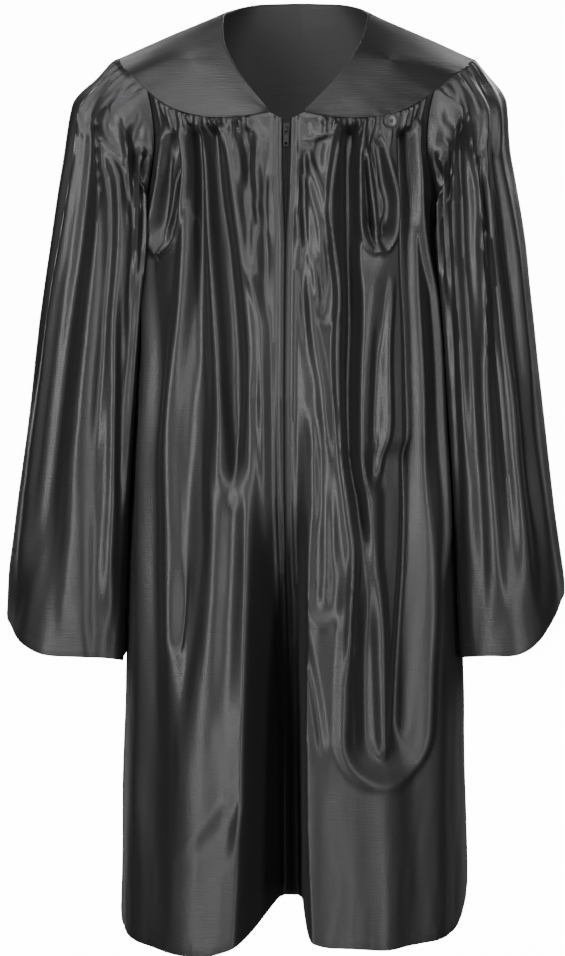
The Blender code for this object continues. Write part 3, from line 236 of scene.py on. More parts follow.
BACK_CREASES = [Crease(*row) for row in (
    (((-92, 96), (-100, 240), (-108, 440), (-112, 900)), (9, 22), (5.5, 6), 0.1, (20, 40)),
    (((-74, 100), (-78, 240), (-84, 440), (-88, 700)), (9, 20), (-8, -6), 0, (20, 180)),
    (((-56, 100), (-58, 240), (-60, 440), (-60, 900)), (7, 20), (6, 6.5), -0.2, (16, 40)),
    (((-38, 104), (-40, 240), (-40, 440), (-42, 760)), (8, 20), (-8, -7), 0, (18, 200)),
    (((-20, 104), (-18, 240), (-16, 440), (-10, 900)), (7, 22), (6, 6.5), 0.15, (14, 40)),
    (((0, 106), (6, 240), (10, 440), (16, 690)), (8, 20), (-9, -7), 0, (18, 180)),
    (((20, 104), (26, 240), (32, 440), (40, 900)), (6, 20), (6, 5.5), -0.1, (14, 40)),
    (((40, 102), (46, 240), (52, 440), (60, 760)), (8, 20), (-9, -8), 0, (18, 200)),
    (((60, 100), (66, 240), (74, 440), (84, 900)), (7, 21), (6, 6), 0.2, (16, 40)),
    (((78, 98), (86, 240), (94, 440), (104, 660)), (9, 18), (-7.5, -6), 0, (20, 140)),
    (((95, 96), (104, 240), (110, 440), (118, 640)), (9, 18), (5.5, 5), 0, (20, 160)),
    (((-84, 102), (-88, 170), (-90, 250)), (3, 4), (2.6, 2), 0, (12, 50)),
    (((-47, 104), (-50, 180), (-50, 300)), (3, 4), (3, 2.4), 0, (12, 60)),
    (((-29, 106), (-30, 160), (-28, 220)), (3, 4), (2.6, 2), 0, (12, 40)),
    (((10, 107), (14, 180), (20, 280)), (3, 4), (3, 2.4), 0, (12, 60)),
    (((50, 104), (55, 170), (60, 240)), (3, 4), (2.6, 2), 0, (12, 50)),
    (((70, 102), (77, 180), (82, 300)), (3, 4), (3, 2.4), 0, (12, 60)),
    (((-70, 430), (-50, 480), (-24, 530)), (6, 8), (2, 2), 0.4, (30, 30)),
    (((90, 560), (70, 600), (46, 636)), (6, 8), (2, 2), -0.4, (30, 30)),
)]
BACK_TONGUES = [Tongue(*row) for row in (
    (((-66, 100), (-69, 160), (-71, 215)), (6, 13), 24, 4.5, 3.0, 4.2),
    (((28, 103), (34, 150), (38, 196)), (6, 12), 24, 4.5, 3.0, 4.2),
    (((-8, 105), (-6, 200), (-2, 300)), (7, 13), 34, 4.0, 2.6, 4.6),
    (((62, 420), (70, 520), (76, 600)), (18, 24), 50, 6.0, 3.6, 8.0),
)]
# Short gathers under the yoke: how many to each side of the middle, their height and how far down they reach
GATHERS = {"front": 17, "back": 19, "sleeve": 15, "height": 2.6, "sleeve_height": 3.0, "reach": (14.0, 48.0)}
# Soft wrinkles of the cloth: how long and wide they are, and their height
WRINKLES = table("wide long height", (26.0, 150.0, 1.3), (13.0, 70.0, 0.65), (6.0, 30.0, 0.22))

SLEEVE = table(
    "z right left front back",
    (-35.0, 160.0, 152.0, 40.0, 44.0),
    (-66.0, 171.0, 160.0, 54.0, 54.0),
    (-110.0, 184.0, 169.0, 60.0, 57.0),
    (-172.0, 195.0, 181.0, 64.0, 62.0),
    (-240.0, 205.0, 190.0, 68.0, 66.0),
    (-400.0, 227.0, 210.0, 73.0, 72.0),
    (-520.0, 245.0, 227.0, 76.0, 76.0),
)
SLEEVE_MIDDLE_Y = 2.0
SLEEVE_TUCK = 14.0
SLEEVE_CLEAR = {"top": 0.4, "low": 3.0, "over": 14.0, "soft": 3.0}
SLEEVE_SETTLE = {"yoke": 36.0, "armhole": 15.0}
SLEEVE_WRAP = {"right": (0.45, 0.60), "left": (0.80, 0.42), "outside": 0.85, "soft": 0.07}
# The sleeve's head swells out below the yoke's seam, rises a little over it near the shoulder tip, and its gathers
# stand upwards too. Turns are counted from the tip, with the turns that each effect fades over.
SLEEVE_PUFF = {"height": 5.0, "below": 24.0, "reach": 62.0, "turns": (0.32, 0.16), "gathered": 0.35}
SLEEVE_RISE = {"height": 3.4, "below": 7.0, "reach": 10.0, "turns": (0.22, 0.12), "start": 1.5, "uneven": 0.5}
SLEEVE_UPRIGHT = {"height": 0.75, "turns": (0.31, 0.06), "start": 6.0, "stop": (44.0, 34.0), "at_tip": 0.2,
                  "tip_turns": (0.02, 0.06)}
SLEEVE_SEAM = {"out": 0.5, "lap": 0.9, "under": 0.5}
CUFF_HEIGHTS = {"right": (-496.0, -519.0, -533.0, -520.0), "left": (-475.0, -512.0, -525.0, -510.0)}
SLEEVE_ROUND = (300.0, 400.0)       # the way round a sleeve at its top and at its cuff
SLEEVE_CREASES = {
    "right": [Crease(*row) for row in (
        (((0.050, 4), (0.060, 120), (0.064, 300), (0.060, 470)), (6, 22), (4, 5), 0, (14, 60)),
        (((0.100, 8), (0.095, 120), (0.090, 300), (0.085, 440)), (5, 14), (-4, -3), 0, (20, 120)),
        (((0.120, 6), (0.150, 60), (0.140, 120), (0.118, 200), (0.105, 300), (0.125, 440)),
         (3.5, 14), (4, 6), 0.1, (8, 60)),
        (((0.175, 10), (0.200, 70), (0.195, 160), (0.190, 300), (0.200, 440)), (5, 15), (-4.5, -6), 0, (16, 100)),
        (((0.205, 6), (0.225, 50), (0.243, 90), (0.247, 160), (0.247, 280), (0.256, 380), (0.262, 470)),
         (3, 8), (4, 4.5), -0.2, (8, 50)),
        (((0.254, 60), (0.258, 100), (0.262, 170), (0.262, 300)), (2, 2.4), (-2.6, -2), 0, (10, 60)),
        (((0.256, 48), (0.268, 94), (0.272, 161), (0.286, 229), (0.298, 302), (0.300, 400)),
         (3.5, 9), (4, 4), 0.2, (10, 60)),
        (((0.285, 60), (0.290, 117), (0.300, 180)), (4, 5), (2.4, 2), 0, (20, 50)),
        (((0.272, 3), (0.276, 20), (0.280, 60)), (3, 4), (4, 3), 0, (4, 30)),
        (((0.292, 3), (0.298, 20), (0.302, 60)), (3, 4), (-4, -3), 0, (4, 30)),
        (((0.312, 4), (0.318, 60), (0.322, 140)), (3, 6), (6, 3), 0, (5, 70)),
        (((0.330, 4), (0.332, 40), (0.334, 100)), (3, 5), (-3, -3), 0, (5, 50)),
        (((0.340, 12), (0.346, 120), (0.348, 330)), (5, 9), (5, 4), 0, (10, 120)),
        (((0.372, 20), (0.375, 120), (0.376, 260)), (5, 8), (5, 4), 0, (16, 100)),
        (((0.640, 10), (0.660, 200), (0.680, 440)), (7, 22), (5, 5), 0, (16, 100)),
        (((0.700, 8), (0.715, 200), (0.720, 430)), (6, 20), (-5, -6), 0, (16, 120)),
        (((0.765, 6), (0.775, 200), (0.780, 480)), (5, 18), (5, 5.5), 0.2, (10, 40)),
        (((0.820, 8), (0.835, 200), (0.845, 430)), (6, 18), (-5, -5), 0, (14, 120)),
        (((0.865, 6), (0.880, 200), (0.890, 480)), (5, 18), (5, 5), -0.2, (10, 40)),
        (((0.920, 8), (0.930, 200), (0.940, 430)), (6, 18), (-4.5, -5), 0, (14, 120)),
        (((0.970, 6), (0.985, 200), (0.990, 480)), (6, 20), (4.5, 4.5), 0, (10, 60)),
    )],
    "left": [Crease(*row) for row in (
        (((0.060, 4), (0.084, 80), (0.086, 200), (0.088, 350), (0.085, 470)), (5, 20), (4, 5), 0, (12, 60)),
        (((0.110, 8), (0.125, 100), (0.125, 250), (0.120, 430)), (5, 14), (-4, -4), 0, (16, 120)),
        (((0.140, 6), (0.180, 90), (0.186, 138), (0.182, 192), (0.172, 258), (0.176, 339), (0.175, 440)),
         (4, 13), (3.5, 5), 0, (12, 80)),
        (((0.200, 70), (0.204, 160), (0.208, 260), (0.212, 400)), (4, 8), (-3.5, -4.5), 0, (20, 80)),
        (((0.188, 2), (0.232, 34), (0.222, 55), (0.210, 87), (0.222, 133), (0.228, 171), (0.246, 247), (0.250, 326),
          (0.250, 430)), (3.4, 8), (4.5, 5.5), 0.25, (6, 70)),
        (((0.262, 14), (0.268, 70), (0.276, 142), (0.285, 300)), (5, 9), (-4, -5), 0, (14, 100)),
        (((0.290, 30), (0.300, 150), (0.310, 400)), (5, 14), (3.5, 4), 0, (20, 120)),
        (((0.272, 3), (0.276, 20), (0.280, 50)), (3, 4), (4, 3), 0, (4, 24)),
        (((0.296, 3), (0.301, 20), (0.304, 60)), (3, 4), (-4, -3), 0, (4, 30)),
        (((0.318, 4), (0.324, 60), (0.328, 160)), (3, 6), (6, 3), 0, (5, 80)),
        (((0.335, 4), (0.338, 40), (0.340, 100)), (3, 5), (-3, -3), 0, (5, 50)),
        (((0.348, 12), (0.352, 120), (0.354, 330)), (5, 9), (5, 4), 0, (10, 120)),
        (((0.380, 20), (0.382, 120), (0.384, 260)), (5, 8), (5, 4), 0, (16, 100)),
        (((0.660, 10), (0.670, 200), (0.690, 440)), (7, 22), (5, 5), 0, (16, 100)),
        (((0.715, 8), (0.730, 200), (0.740, 430)), (6, 20), (-5, -6), 0, (16, 120)),
        (((0.775, 6), (0.790, 200), (0.800, 480)), (5, 18), (5, 5.5), -0.2, (10, 40)),
        (((0.830, 8), (0.845, 200), (0.855, 430)), (6, 18), (-5, -5), 0, (14, 120)),
        (((0.880, 6), (0.895, 200), (0.905, 480)), (5, 18), (5, 5), 0.2, (10, 40)),
        (((0.935, 8), (0.945, 200), (0.955, 430)), (6, 18), (-4.5, -5), 0, (14, 120)),
        (((0.985, 6), (0.995, 200), (1.000, 480)), (6, 20), (4.5, 4.5), 0, (10, 60)),
    )],
}
SLEEVE_TONGUES = {
    "right": [Tongue(*row) for row in (
        (((0.235, 3), (0.242, 20), (0.255, 46)), (6, 9), 18, 1.8, 1.0, 4.6),
        (((0.150, 2), (0.165, 24), (0.178, 50)), (5, 8), 18, 1.6, 0.8, 4.6),
        (((0.790, 3), (0.800, 30), (0.806, 64)), (6, 10), 20, 1.8, 1.0, 4.6),
    )],
    "left": [Tongue(*row) for row in (
        (((0.160, 3), (0.196, 30), (0.200, 62)), (6, 9), 18, 1.8, 1.0, 4.6),
        (((0.105, 2), (0.110, 30), (0.112, 70)), (5, 9), 22, 1.6, 0.9, 4.6),
        (((0.810, 3), (0.815, 30), (0.820, 70)), (6, 10), 20, 1.8, 1.0, 4.6),
    )],
}

# How finely each shell is divided
GRID = {"band": 8, "valley": 44, "front": 100, "armhole": 42, "rows": 236, "back": 78, "back_armhole": 34,
        "back_rows": 210, "sleeve": 88, "sleeve_rows": 206, "yoke_front": 70, "yoke_back": 180, "yoke_rows": 40,
        "power": 1.35}
VALLEY_SHARE = 0.145
# Over how many millimetres the folds fade beside the button, the armholes and the zip, and the folds and the soft
# waves fade under the yoke
CALM = {"button": 7.0, "armhole": 14.0, "zip": 8.0, "yoke": 7.0, "waves": 30.0}
SIDE_CALM = (0.03, 0.05)    # how far from the side seams the folds end, and over what share they fade

# The picture's place: what it looks at, from where, and how many millimetres one of its pixels spans there
PICTURE = {"height": 956, "mm_per_pixel": 0.83, "aim": (-10.5, 0.0, -380.3), "azimuth": 5.0,
           "elevation": 9.0, "distance": 2400.0, "sensor": 36.0}
# The lights: azimuth and elevation round the gown, distance and size in metres, and power in watts
LIGHTS = {
    "key_left": (-27, 5, 2.4, (0.58, 2.6), 64),
    "fill_right": (36, -2, 2.5, (0.42, 2.6), 46),
    "side_left": (-66, 4, 2.5, (0.9, 2.3), 7),
    "side_right": (72, 2, 2.5, (0.9, 2.3), 9),
    "top_left": (-50, 64, 2.2, (1.3, 0.9), 18),
    "neck_front": (4, 44, 2.2, (0.9, 0.5), 24),
    "back_left": (150, 30, 2.5, (1.0, 1.6), 34),
    "back_right": (212, 20, 2.5, (1.0, 1.6), 30),
}
STAGE = {"floor": -1000.0, "radius": 14000.0, "high": 14000.0, "sides": 64, "glow": 14.0}
# The satin: its colour, its roughness at the top, how much its shine varies, its roughness at the hem, its sheen, how
# its ribs, threads, changes of shine and dye are stretched, how much duller its inner face is, and how much paler its
# inner face's colour is painted: painted light standing in for light inside the neck
SATIN = {"base": (0.009, 0.009, 0.0095), "top": 0.41, "varies": 0.1, "hem": 0.51, "sheen": 0.03,
         "ribs": (60.0, 60.0, 1250.0), "threads": (1500.0, 1500.0, 90.0), "shine": (9.0, 9.0, 5.0),
         "dye": (400.0, 400.0, 900.0), "inner_dull": 0.25, "inner_painted_light": 3.8}
# The other finishes: colour, two ends of the roughness, metallic, how the grain is stretched, its height in metres, and
# the specular level
FINISHES = {
    "black_thread": ((0.02, 0.02, 0.021), (0.45, 0.6), 0.0, (2500, 2500, 2500), 0.0001, 0.5),
    # The tape and the coil are black, and are made darker and less glossy still: painted shade for the narrow slot they
    # lie in
    "woven_tape": ((0.006, 0.006, 0.0065), (0.75, 0.9), 0.0, (500, 500, 1800), 0.0003, 0.25),
    "nylon_coil": ((0.006, 0.006, 0.0065), (0.55, 0.7), 0.0, (900, 900, 900), 0.0001, 0.2),
    "dark_metal": ((0.013, 0.013, 0.014), (0.40, 0.52), 0.3, (900, 900, 900), 0.00005, 0.3),
    "dark_plastic": ((0.035, 0.035, 0.037), (0.28, 0.38), 0.0, (300, 300, 300), 0.00005, 0.5),
}
SIDE_NAMES = {-1: "right", 1: "left"}      # the wearer's, by the sign of x


def smooth(x, xs, ys):
    """A smooth curve through (xs, ys) that never overshoots its points."""
    xs, ys = np.asarray(xs, float), np.asarray(ys, float)
    if xs[0] > xs[-1]:
        xs, ys = xs[::-1], ys[::-1]
    step = np.diff(xs)
    slope = np.diff(ys) / step
    tangent = np.zeros_like(xs)
    tangent[0], tangent[-1] = slope[0], slope[-1]
    same = slope[:-1] * slope[1:] > 0
    harmonic = 2 * slope[:-1] * slope[1:] / np.where(same, slope[:-1] + slope[1:], 1.0)
    tangent[1:-1] = np.where(same, harmonic, 0.0)
    x = np.clip(np.asarray(x, float), xs[0], xs[-1])
    k = np.clip(np.searchsorted(xs, x) - 1, 0, len(xs) - 2)
    t = (x - xs[k]) / step[k]
    return (ys[k] * (1 + 2 * t) * (1 - t) ** 2 + tangent[k] * step[k] * t * (1 - t) ** 2
            + ys[k + 1] * t * t * (3 - 2 * t) + tangent[k + 1] * step[k] * t * t * (t - 1))


def ramp(x):
    """0 below 0, 1 above 1, and a smooth rise between."""
    x = np.clip(x, 0.0, 1.0)
    return x * x * (3 - 2 * x)


def faded(x, limit_and_reach):
    """1 well below a limit and 0 above it, with a smooth fall over a reach before it."""
    return ramp((limit_and_reach[0] - x) / limit_and_reach[1])


def bump(t):
    """A soft ridge: 1 at 0, and 0 from 1 outwards."""
    return np.cos(np.clip(t, -1, 1) * math.pi / 2) ** 2


def between(ends, share):
    """The value at a share of the way from the first end to the second."""
    return ends[0] + (ends[1] - ends[0]) * share


def look_up(rows, at, *names):
    """Columns of a table, read smoothly where its first column is at."""
    found = [smooth(at, next(iter(rows.values())), rows[name]) for name in names]
    return found if len(names) > 1 else found[0]


def travelled(points):
    """How far along a line of points each of them lies."""
    return np.concatenate([[0], np.cumsum(np.linalg.norm(np.diff(points, axis=0), axis=1))])


def centred(share):
    """A share round the gown, brought back between -1 and 1."""
    return (share + 1) % 2 - 1


def noise(seed, a, b):
    """Smooth random waves between about -1 and 1, a cell wide in a and in b."""
    cells = 64
    lattice = np.random.default_rng(seed).uniform(-1, 1, (cells, cells))
    ia, ib = np.floor(a).astype(int), np.floor(b).astype(int)
    fa, fb = ramp(a - ia), ramp(b - ib)
    corner = [[lattice[(ia + i) % cells, (ib + j) % cells] for j in (0, 1)] for i in (0, 1)]
    low = corner[0][0] * (1 - fb) + corner[0][1] * fb
    high = corner[1][0] * (1 - fb) + corner[1][1] * fb
    return low * (1 - fa) + high * fa


def half_outline(samples=721):
    """The gown's outline from above on one side, from the front (share 0) to the back (share 1)."""
    turn = np.linspace(0, math.pi, samples)
    x = np.abs(np.sin(turn)) ** (2 / SHAPE_POWER)
    y = -np.sign(np.cos(turn)) * np.abs(np.cos(turn)) ** (2 / SHAPE_POWER)
    length = np.concatenate([[0], np.cumsum(np.hypot(np.diff(x), DEPTH_RATIO * np.diff(y)))])
    return length / length[-1], x, y


OUTLINE_SHARE, OUTLINE_X, OUTLINE_Y = half_outline()
SIDE_SHARE = float(OUTLINE_SHARE[len(OUTLINE_SHARE) // 2])


def body_size(z):
    """Half width, front depth, back depth and half the way round, at that height."""
    half, front, back = look_up(BODY, z, "half", "front", "back")
    return half, front, back, WAY_ROUND[0] * half + WAY_ROUND[1] * (front + back)


def share_of_x(x, z, back=False, half=None):
    """The share round the body where its plain section is x to the left of the middle."""
    ratio = np.clip(np.abs(x) / (body_size(z)[0] if half is None else half), 0, 1)
    middle = len(OUTLINE_SHARE) // 2
    if back:
        found = np.interp(ratio, OUTLINE_X[middle:][::-1], OUTLINE_SHARE[middle:][::-1])
    else:
        found = np.interp(ratio, OUTLINE_X[:middle + 1], OUTLINE_SHARE[:middle + 1])
    return np.where(np.asarray(x) < 0, -found, found)


def hem_z(share):
    """The height of the hem at a share round the body."""
    return look_up(HEM_LINE, share, "z")


def yoke_edge_z(share):
    """The height of the yoke's outer edge at a share round the body."""
    side = np.abs(share)
    tip = YOKE_EDGE_FRONT["z"][-1]
    front = smooth(side, share_of_x(YOKE_EDGE_FRONT["x"], tip), YOKE_EDGE_FRONT["z"])
    behind = smooth(side, share_of_x(YOKE_EDGE_BACK["x"], tip, back=True), YOKE_EDGE_BACK["z"])
    return np.where(side <= SIDE_SHARE, front, behind)


ARMHOLE_START = float(share_of_x(ARMHOLE_FRONT["x"], ARMHOLE_FRONT["z"]))
ARMHOLE_END = float(share_of_x(ARMHOLE_BACK["x"], ARMHOLE_BACK["z"], back=True))
FRONT_START_Z = float(yoke_edge_z(ARMHOLE_START))
BACK_START_Z = float(yoke_edge_z(ARMHOLE_END))
YOKE_POINT_SHARE = float(share_of_x(YOKE_POINT_X, ZIP_TOP_Z))
BUTTON_SHARE = float(share_of_x(BUTTON["x"], BUTTON["z"]))
BUTTON_Z = float(yoke_edge_z(BUTTON_SHARE)) - BUTTON["drop"]


def armhole_point(turn):
    """Share and height on the armhole: turn 0 at the front yoke, 1 underarm, 2 at the back yoke."""
    turn = np.asarray(turn, float)

    def quarter(way, start, start_z):
        angle = np.clip(way, 0, 1) * math.pi / 2
        return between((start, SIDE_SHARE), 1 - np.cos(angle)), between((start_z, UNDERARM_Z), np.sin(angle))

    front, behind = quarter(turn, ARMHOLE_START, FRONT_START_Z), quarter(2 - turn, ARMHOLE_END, BACK_START_Z)
    return tuple(np.where(turn <= 1, a, b) for a, b in zip(front, behind))


def body_top(share):
    """The height of the body's upper edge: the neck edge beside the zip, the yoke seam, then the armhole."""
    side = np.abs(np.asarray(share, float))
    top = yoke_edge_z(side)
    top = top + (ZIP_TOP_Z - top) * (1 - np.clip(side / YOKE_POINT_SHARE, 0, 1))
    for start, start_z, there in ((ARMHOLE_START, FRONT_START_Z, (side > ARMHOLE_START) & (side <= SIDE_SHARE)),
                                  (ARMHOLE_END, BACK_START_Z, (side < ARMHOLE_END) & (side > SIDE_SHARE))):
        away = np.clip((side - start) / (SIDE_SHARE - start), 0, 1)
        top = np.where(there, between((start_z, UNDERARM_Z), np.sqrt(1 - (1 - away) ** 2)), top)
    return top


def line_place(line, down):
    """Where a line is at each distance down, and how much its slant narrows distances across it."""
    downs, places = [p[1] for p in line], [p[0] for p in line]
    place = smooth(down, downs, places)
    return place, smooth(down + 1, downs, places) - smooth(down - 1, downs, places)


def creased(creases, across, down, mm_of_place=1.0):
    """How far the creases stand out. across(place) is the distance of each point from a place, in mm."""
    out = np.zeros_like(down)
    for line, width, height, lean, fade in creases:
        begin, stop = line[0][1], line[-1][1]
        place, slant = line_place(line, down)
        off = across(place) / np.hypot(1, slant / 2 * mm_of_place)
        way = np.clip((down - begin) / (stop - begin), 0, 1)
        size = SOFT * between(width, way) * (1 + lean * np.sign(off))
        reach = ramp((down - begin) / fade[0]) * ramp((stop - down) / fade[1])
        out = out + between(height, way) * bump(off / size) * reach
    return out


def tongued(tongues, across, down):
    """How far in the tongues go, and their rims stand out."""
    out = np.zeros_like(down)
    for line, halves, end, depth, rim, rim_width in tongues:
        begin, stop = line[0][1], line[-1][1]
        off = across(line_place(line, down)[0])
        way = np.clip((down - begin) / (stop - begin), 0, 1)
        half = between(halves, ramp(way * TONGUE["widening"]))
        past = np.maximum(down - (stop - end), 0)
        reach = np.hypot(off / half, past / end)
        far = np.hypot(off, past)
        outside = far - np.where(reach > 0.01, far / np.maximum(reach, 0.01), half)
        hollow = -depth * ramp(-outside / (TONGUE["wall"] * rim_width))
        raised = rim * bump(outside / rim_width) * ramp((way - TONGUE["rim_from"]) / TONGUE["rim_over"])
        out = out + ramp((down - begin) / TONGUE["start"]) * (hollow + raised)
    return out


def uneven(number):
    """A repeatable spread between 0 and 1, for folds that are never quite alike."""
    return (number * 0.6180339887 + 0.37) % 1.0


def gathers(place, below, count, height):
    """Short gathers along a seam. place runs 0 to 1 along it, and below is the distance under it."""
    out = np.zeros_like(below)
    for number in range(count):
        middle = (number + 0.25 + 0.5 * uneven(number)) / count
        reach = between(GATHERS["reach"], uneven(number + 5))
        size = (0.42 + 0.20 * uneven(number + 9)) / count
        drift = 0.25 / count * (uneven(number + 2) - 0.5) * below / 20.0
        fade = ramp(below / 4.0) * (1 - ramp(below / reach))
        out = out + height * (0.6 + 0.8 * uneven(number + 3)) * bump((place - middle - drift) / size) * fade
    return out


def wrinkles(seed, across, down):
    """The cloth's soft, uneven waves."""
    out = np.zeros_like(down)
    for k, (wide, long, height) in enumerate(zip(*WRINKLES.values())):
        bend = 0.35 * noise(seed + 20 + k, down / (2 * long), across / (4 * wide))
        out = out + height * noise(seed + k, across / wide + bend, down / long)
    return out


def centre_fold(share, z):
    """The deep fold. The zip and the bands beside it stay flat at its bottom."""
    depth, right, left = look_up(CENTRE_FOLD, z, "depth", "right", "left")
    off = share * body_size(z)[3]
    past = np.maximum(np.abs(off) - ZIP["flat"], 0)
    return -depth * bump(past / np.where(off < 0, right, left))


def armhole_distance(share, z):
    """How far a point of the body lies from the armhole's edge."""
    side = np.abs(share)
    front = side < SIDE_SHARE
    start = np.where(front, ARMHOLE_START, ARMHOLE_END)
    start_z = np.where(front, FRONT_START_Z, BACK_START_Z)
    drop = np.clip((start_z - z) / (start_z - UNDERARM_Z), 0, 1)
    edge = start + (SIDE_SHARE - start) * (1 - np.sqrt(1 - drop * drop))
    across = np.where(front, edge - side, side - edge) * body_size(z)[3]
    return np.hypot(np.maximum(across, 0), np.maximum(UNDERARM_Z - z, 0))


def fold_depth(share, z):
    """How far the cloth of the body stands out from its plain section."""
    side = np.abs(share)
    half, _, _, way_round = body_size(z)
    below = body_top(share) - z
    in_front = side < SIDE_SHARE

    def folds(creases, tongues, behind):
        def across(x):
            return centred(share - share_of_x(x, z, behind, half)) * way_round

        return creased(creases, across, -z) + tongued(tongues, across, -z)

    front, back = np.zeros_like(z), np.zeros_like(z)
    if in_front.any():
        front = folds(FRONT_BROAD + FRONT_CREASES + TONGUE_CREASES, FRONT_TONGUES, False)
    if not in_front.all():
        back = folds(BACK_CREASES, BACK_TONGUES, True)
    front = front * ramp((SIDE_SHARE - SIDE_CALM[0] - side) / SIDE_CALM[1])
    back = back * ramp((side - SIDE_SHARE - SIDE_CALM[0]) / SIDE_CALM[1])
    first, height = 2 * YOKE_POINT_SHARE, GATHERS["height"]
    small = np.where(in_front, gathers((side - first) / (ARMHOLE_START - first), below, GATHERS["front"], height),
                     gathers((1 - side) / (1 - ARMHOLE_END), below, GATHERS["back"], height))
    beside_button = np.hypot((share - BUTTON_SHARE) * way_round, z - BUTTON_Z)
    calm = ramp((beside_button - BUTTON["radius"]) / CALM["button"])
    calm = calm * ramp(armhole_distance(share, z) / CALM["armhole"])
    beside_zip = ramp((side * way_round - ZIP["flat"]) / CALM["zip"])
    # The soft waves keep off the side seams, the yoke's seam and the zip. On the back they run on past its middle.
    from_back = np.where(share < 0, share + 2, share)
    waves = np.where(in_front, wrinkles(3, share * way_round, -z), wrinkles(9, from_back * way_round, -z))
    waves = waves * ramp((np.abs(side - SIDE_SHARE) - 0.004) / 0.03) * ramp(below / CALM["waves"]) * beside_zip
    puckers = HEM_PUCKERS["height"] * noise(5, share * way_round / HEM_PUCKERS["wide"], -z / HEM_PUCKERS["long"])
    puckers = puckers * faded(z - hem_z(share), HEM_PUCKERS["reach"])
    return (front + back) * ramp(below / CALM["yoke"]) * calm + (small + waves + puckers) * calm + centre_fold(share, z)


def outline_at(share):
    """x and y on the body's outline from above, each from -1 to 1."""
    side = np.abs(share)
    x = np.interp(side, OUTLINE_SHARE, OUTLINE_X) * np.sign(share)
    return x, np.interp(side, OUTLINE_SHARE, OUTLINE_Y)


def plain_body(share, z):
    """A point of the body's plain section, with no folds."""
    half, front, back, _ = body_size(z)
    x, y = outline_at(share)
    return np.stack([x * half, BODY_FORWARD + y * np.where(y < 0, front, back), z], -1)


def unit(vectors):
    return vectors / np.maximum(np.linalg.norm(vectors, axis=-1, keepdims=True), 1e-9)


def plan_normal(share):
    """The direction out of the plain section, seen from above."""
    step = 0.004
    x0, y0 = outline_at(share - step)
    x1, y1 = outline_at(share + step)
    return unit(np.stack([(y1 - y0) * DEPTH_RATIO, x0 - x1, np.zeros_like(x0)], -1))


def body_point(share, z):
    """A point of the body's cloth. It dips along the side seams and tucks in under the yoke and the sleeves."""
    share, z = np.broadcast_arrays(np.asarray(share, float), np.asarray(z, float))
    share = centred(share)
    below = body_top(share) - z
    from_side = np.abs(np.abs(share) - SIDE_SHARE) * body_size(z)[3]
    dip = -SEAM["groove"] * bump(from_side / SEAM["groove_width"]) - SEAM["tuck"] * (1 - ramp(below / SEAM["over"]))
    return plain_body(share, z) + plan_normal(share) * (fold_depth(share, z) + dip)[..., None]


def normals(surface, a, b, step_a=0.0008, step_b=-0.25):
    """Unit normals of surface(a, b), by small steps along a and, down the cloth, along b."""
    across = surface(a + step_a, b) - surface(a - step_a, b)
    down = surface(a, b + step_b) - surface(a, b - step_b)
    return unit(np.cross(down, across))


def skin_normals(points, toward, closed=False):
    """Unit normals of a grid of points, on the side that faces toward."""
    across = np.roll(points, -1, 1) - np.roll(points, 1, 1) if closed else np.gradient(points, axis=1)
    out = unit(np.cross(np.gradient(points, axis=0), across))
    return out * np.sign((out * toward).sum(-1).mean())


def add_object(name, data):
    """An object in the scene for a mesh, a light or a camera."""
    made = bpy.data.objects.new(name, data)
    bpy.context.scene.collection.objects.link(made)
    return made


def mesh_object(name, points, faces):
    """A mesh object from points in millimetres and faces."""
    data = bpy.data.meshes.new(name)
    data.from_pydata((np.asarray(points) * MM).tolist(), [], [tuple(face) for face in faces])
    data.update()
    thing = add_object(name, data)
    data.shade_smooth()
    return thing


def shell(name, outer, inner, closed=False):
    """A closed thin shell between two grids of points, rows down and columns across. Its points carry a mark that is
    0 on the outer face and 1 on the inner one."""
    rows, columns, _ = outer.shape
    other = rows * columns
    index = np.arange(other).reshape(rows, columns)
    if closed:
        index = np.concatenate([index, index[:, :1]], axis=1)
    skin = np.stack([index[:-1, :-1], index[1:, :-1], index[1:, 1:], index[:-1, 1:]], -1).reshape(-1, 4)
    faces = [skin, skin[:, ::-1] + other]
    edges = [(index[0], 1), (index[-1], -1)]
    if not closed:
        edges += [(index[:, 0], -1), (index[:, -1], 1)]
    for edge, turn in edges:
        rim = np.stack([edge[:-1], edge[1:], edge[1:] + other, edge[:-1] + other], -1)
        faces.append(rim[:, ::turn])
    points = np.concatenate([outer.reshape(-1, 3), inner.reshape(-1, 3)])
    thing = mesh_object(name, points, np.concatenate(faces).tolist())
    mesh = bmesh.new()
    mesh.from_mesh(thing.data)
    if mesh.calc_volume(signed=True) < 0:
        bmesh.ops.reverse_faces(mesh, faces=mesh.faces)
    mesh.to_mesh(thing.data)
    mesh.free()
    thing.data.set_sharp_from_angle(angle=math.radians(50))
    mark = thing.data.attributes.new("inside", "FLOAT", "POINT")
    mark.data.foreach_set("value", np.repeat([0.0, 1.0], other))
    return thing


def raised_shell(name, points, out, relief, thick, closed=False):
    """A shell that stands out from its points by a relief, and is thick inwards."""
    outer = points + relief[..., None] * out
    return shell(name, outer, outer - thick[..., None] * out, closed)


def crowded(rows):
    """Shares of the way down for that many rows, close together at the top."""
    return np.linspace(0, 1, rows) ** GRID["power"]


def zip_map():
    """The shares round the body at steps away from the centre front, along the folded cloth, at many heights."""
    heights = np.linspace(-74.0, -754.0, 330)
    away = np.linspace(0, 15.0, 61)
    fine = np.linspace(0, 0.12, 241)
    found = []
    for side in (-1, 1):
        points = body_point(side * fine[None, :], heights[:, None])
        length = np.cumsum(np.linalg.norm(np.diff(points, axis=1), axis=2), axis=1)
        length = np.concatenate([np.zeros((len(heights), 1)), length], axis=1)
        found.append(np.stack([np.interp(away, row, fine) for row in length]))
    return heights, away, found


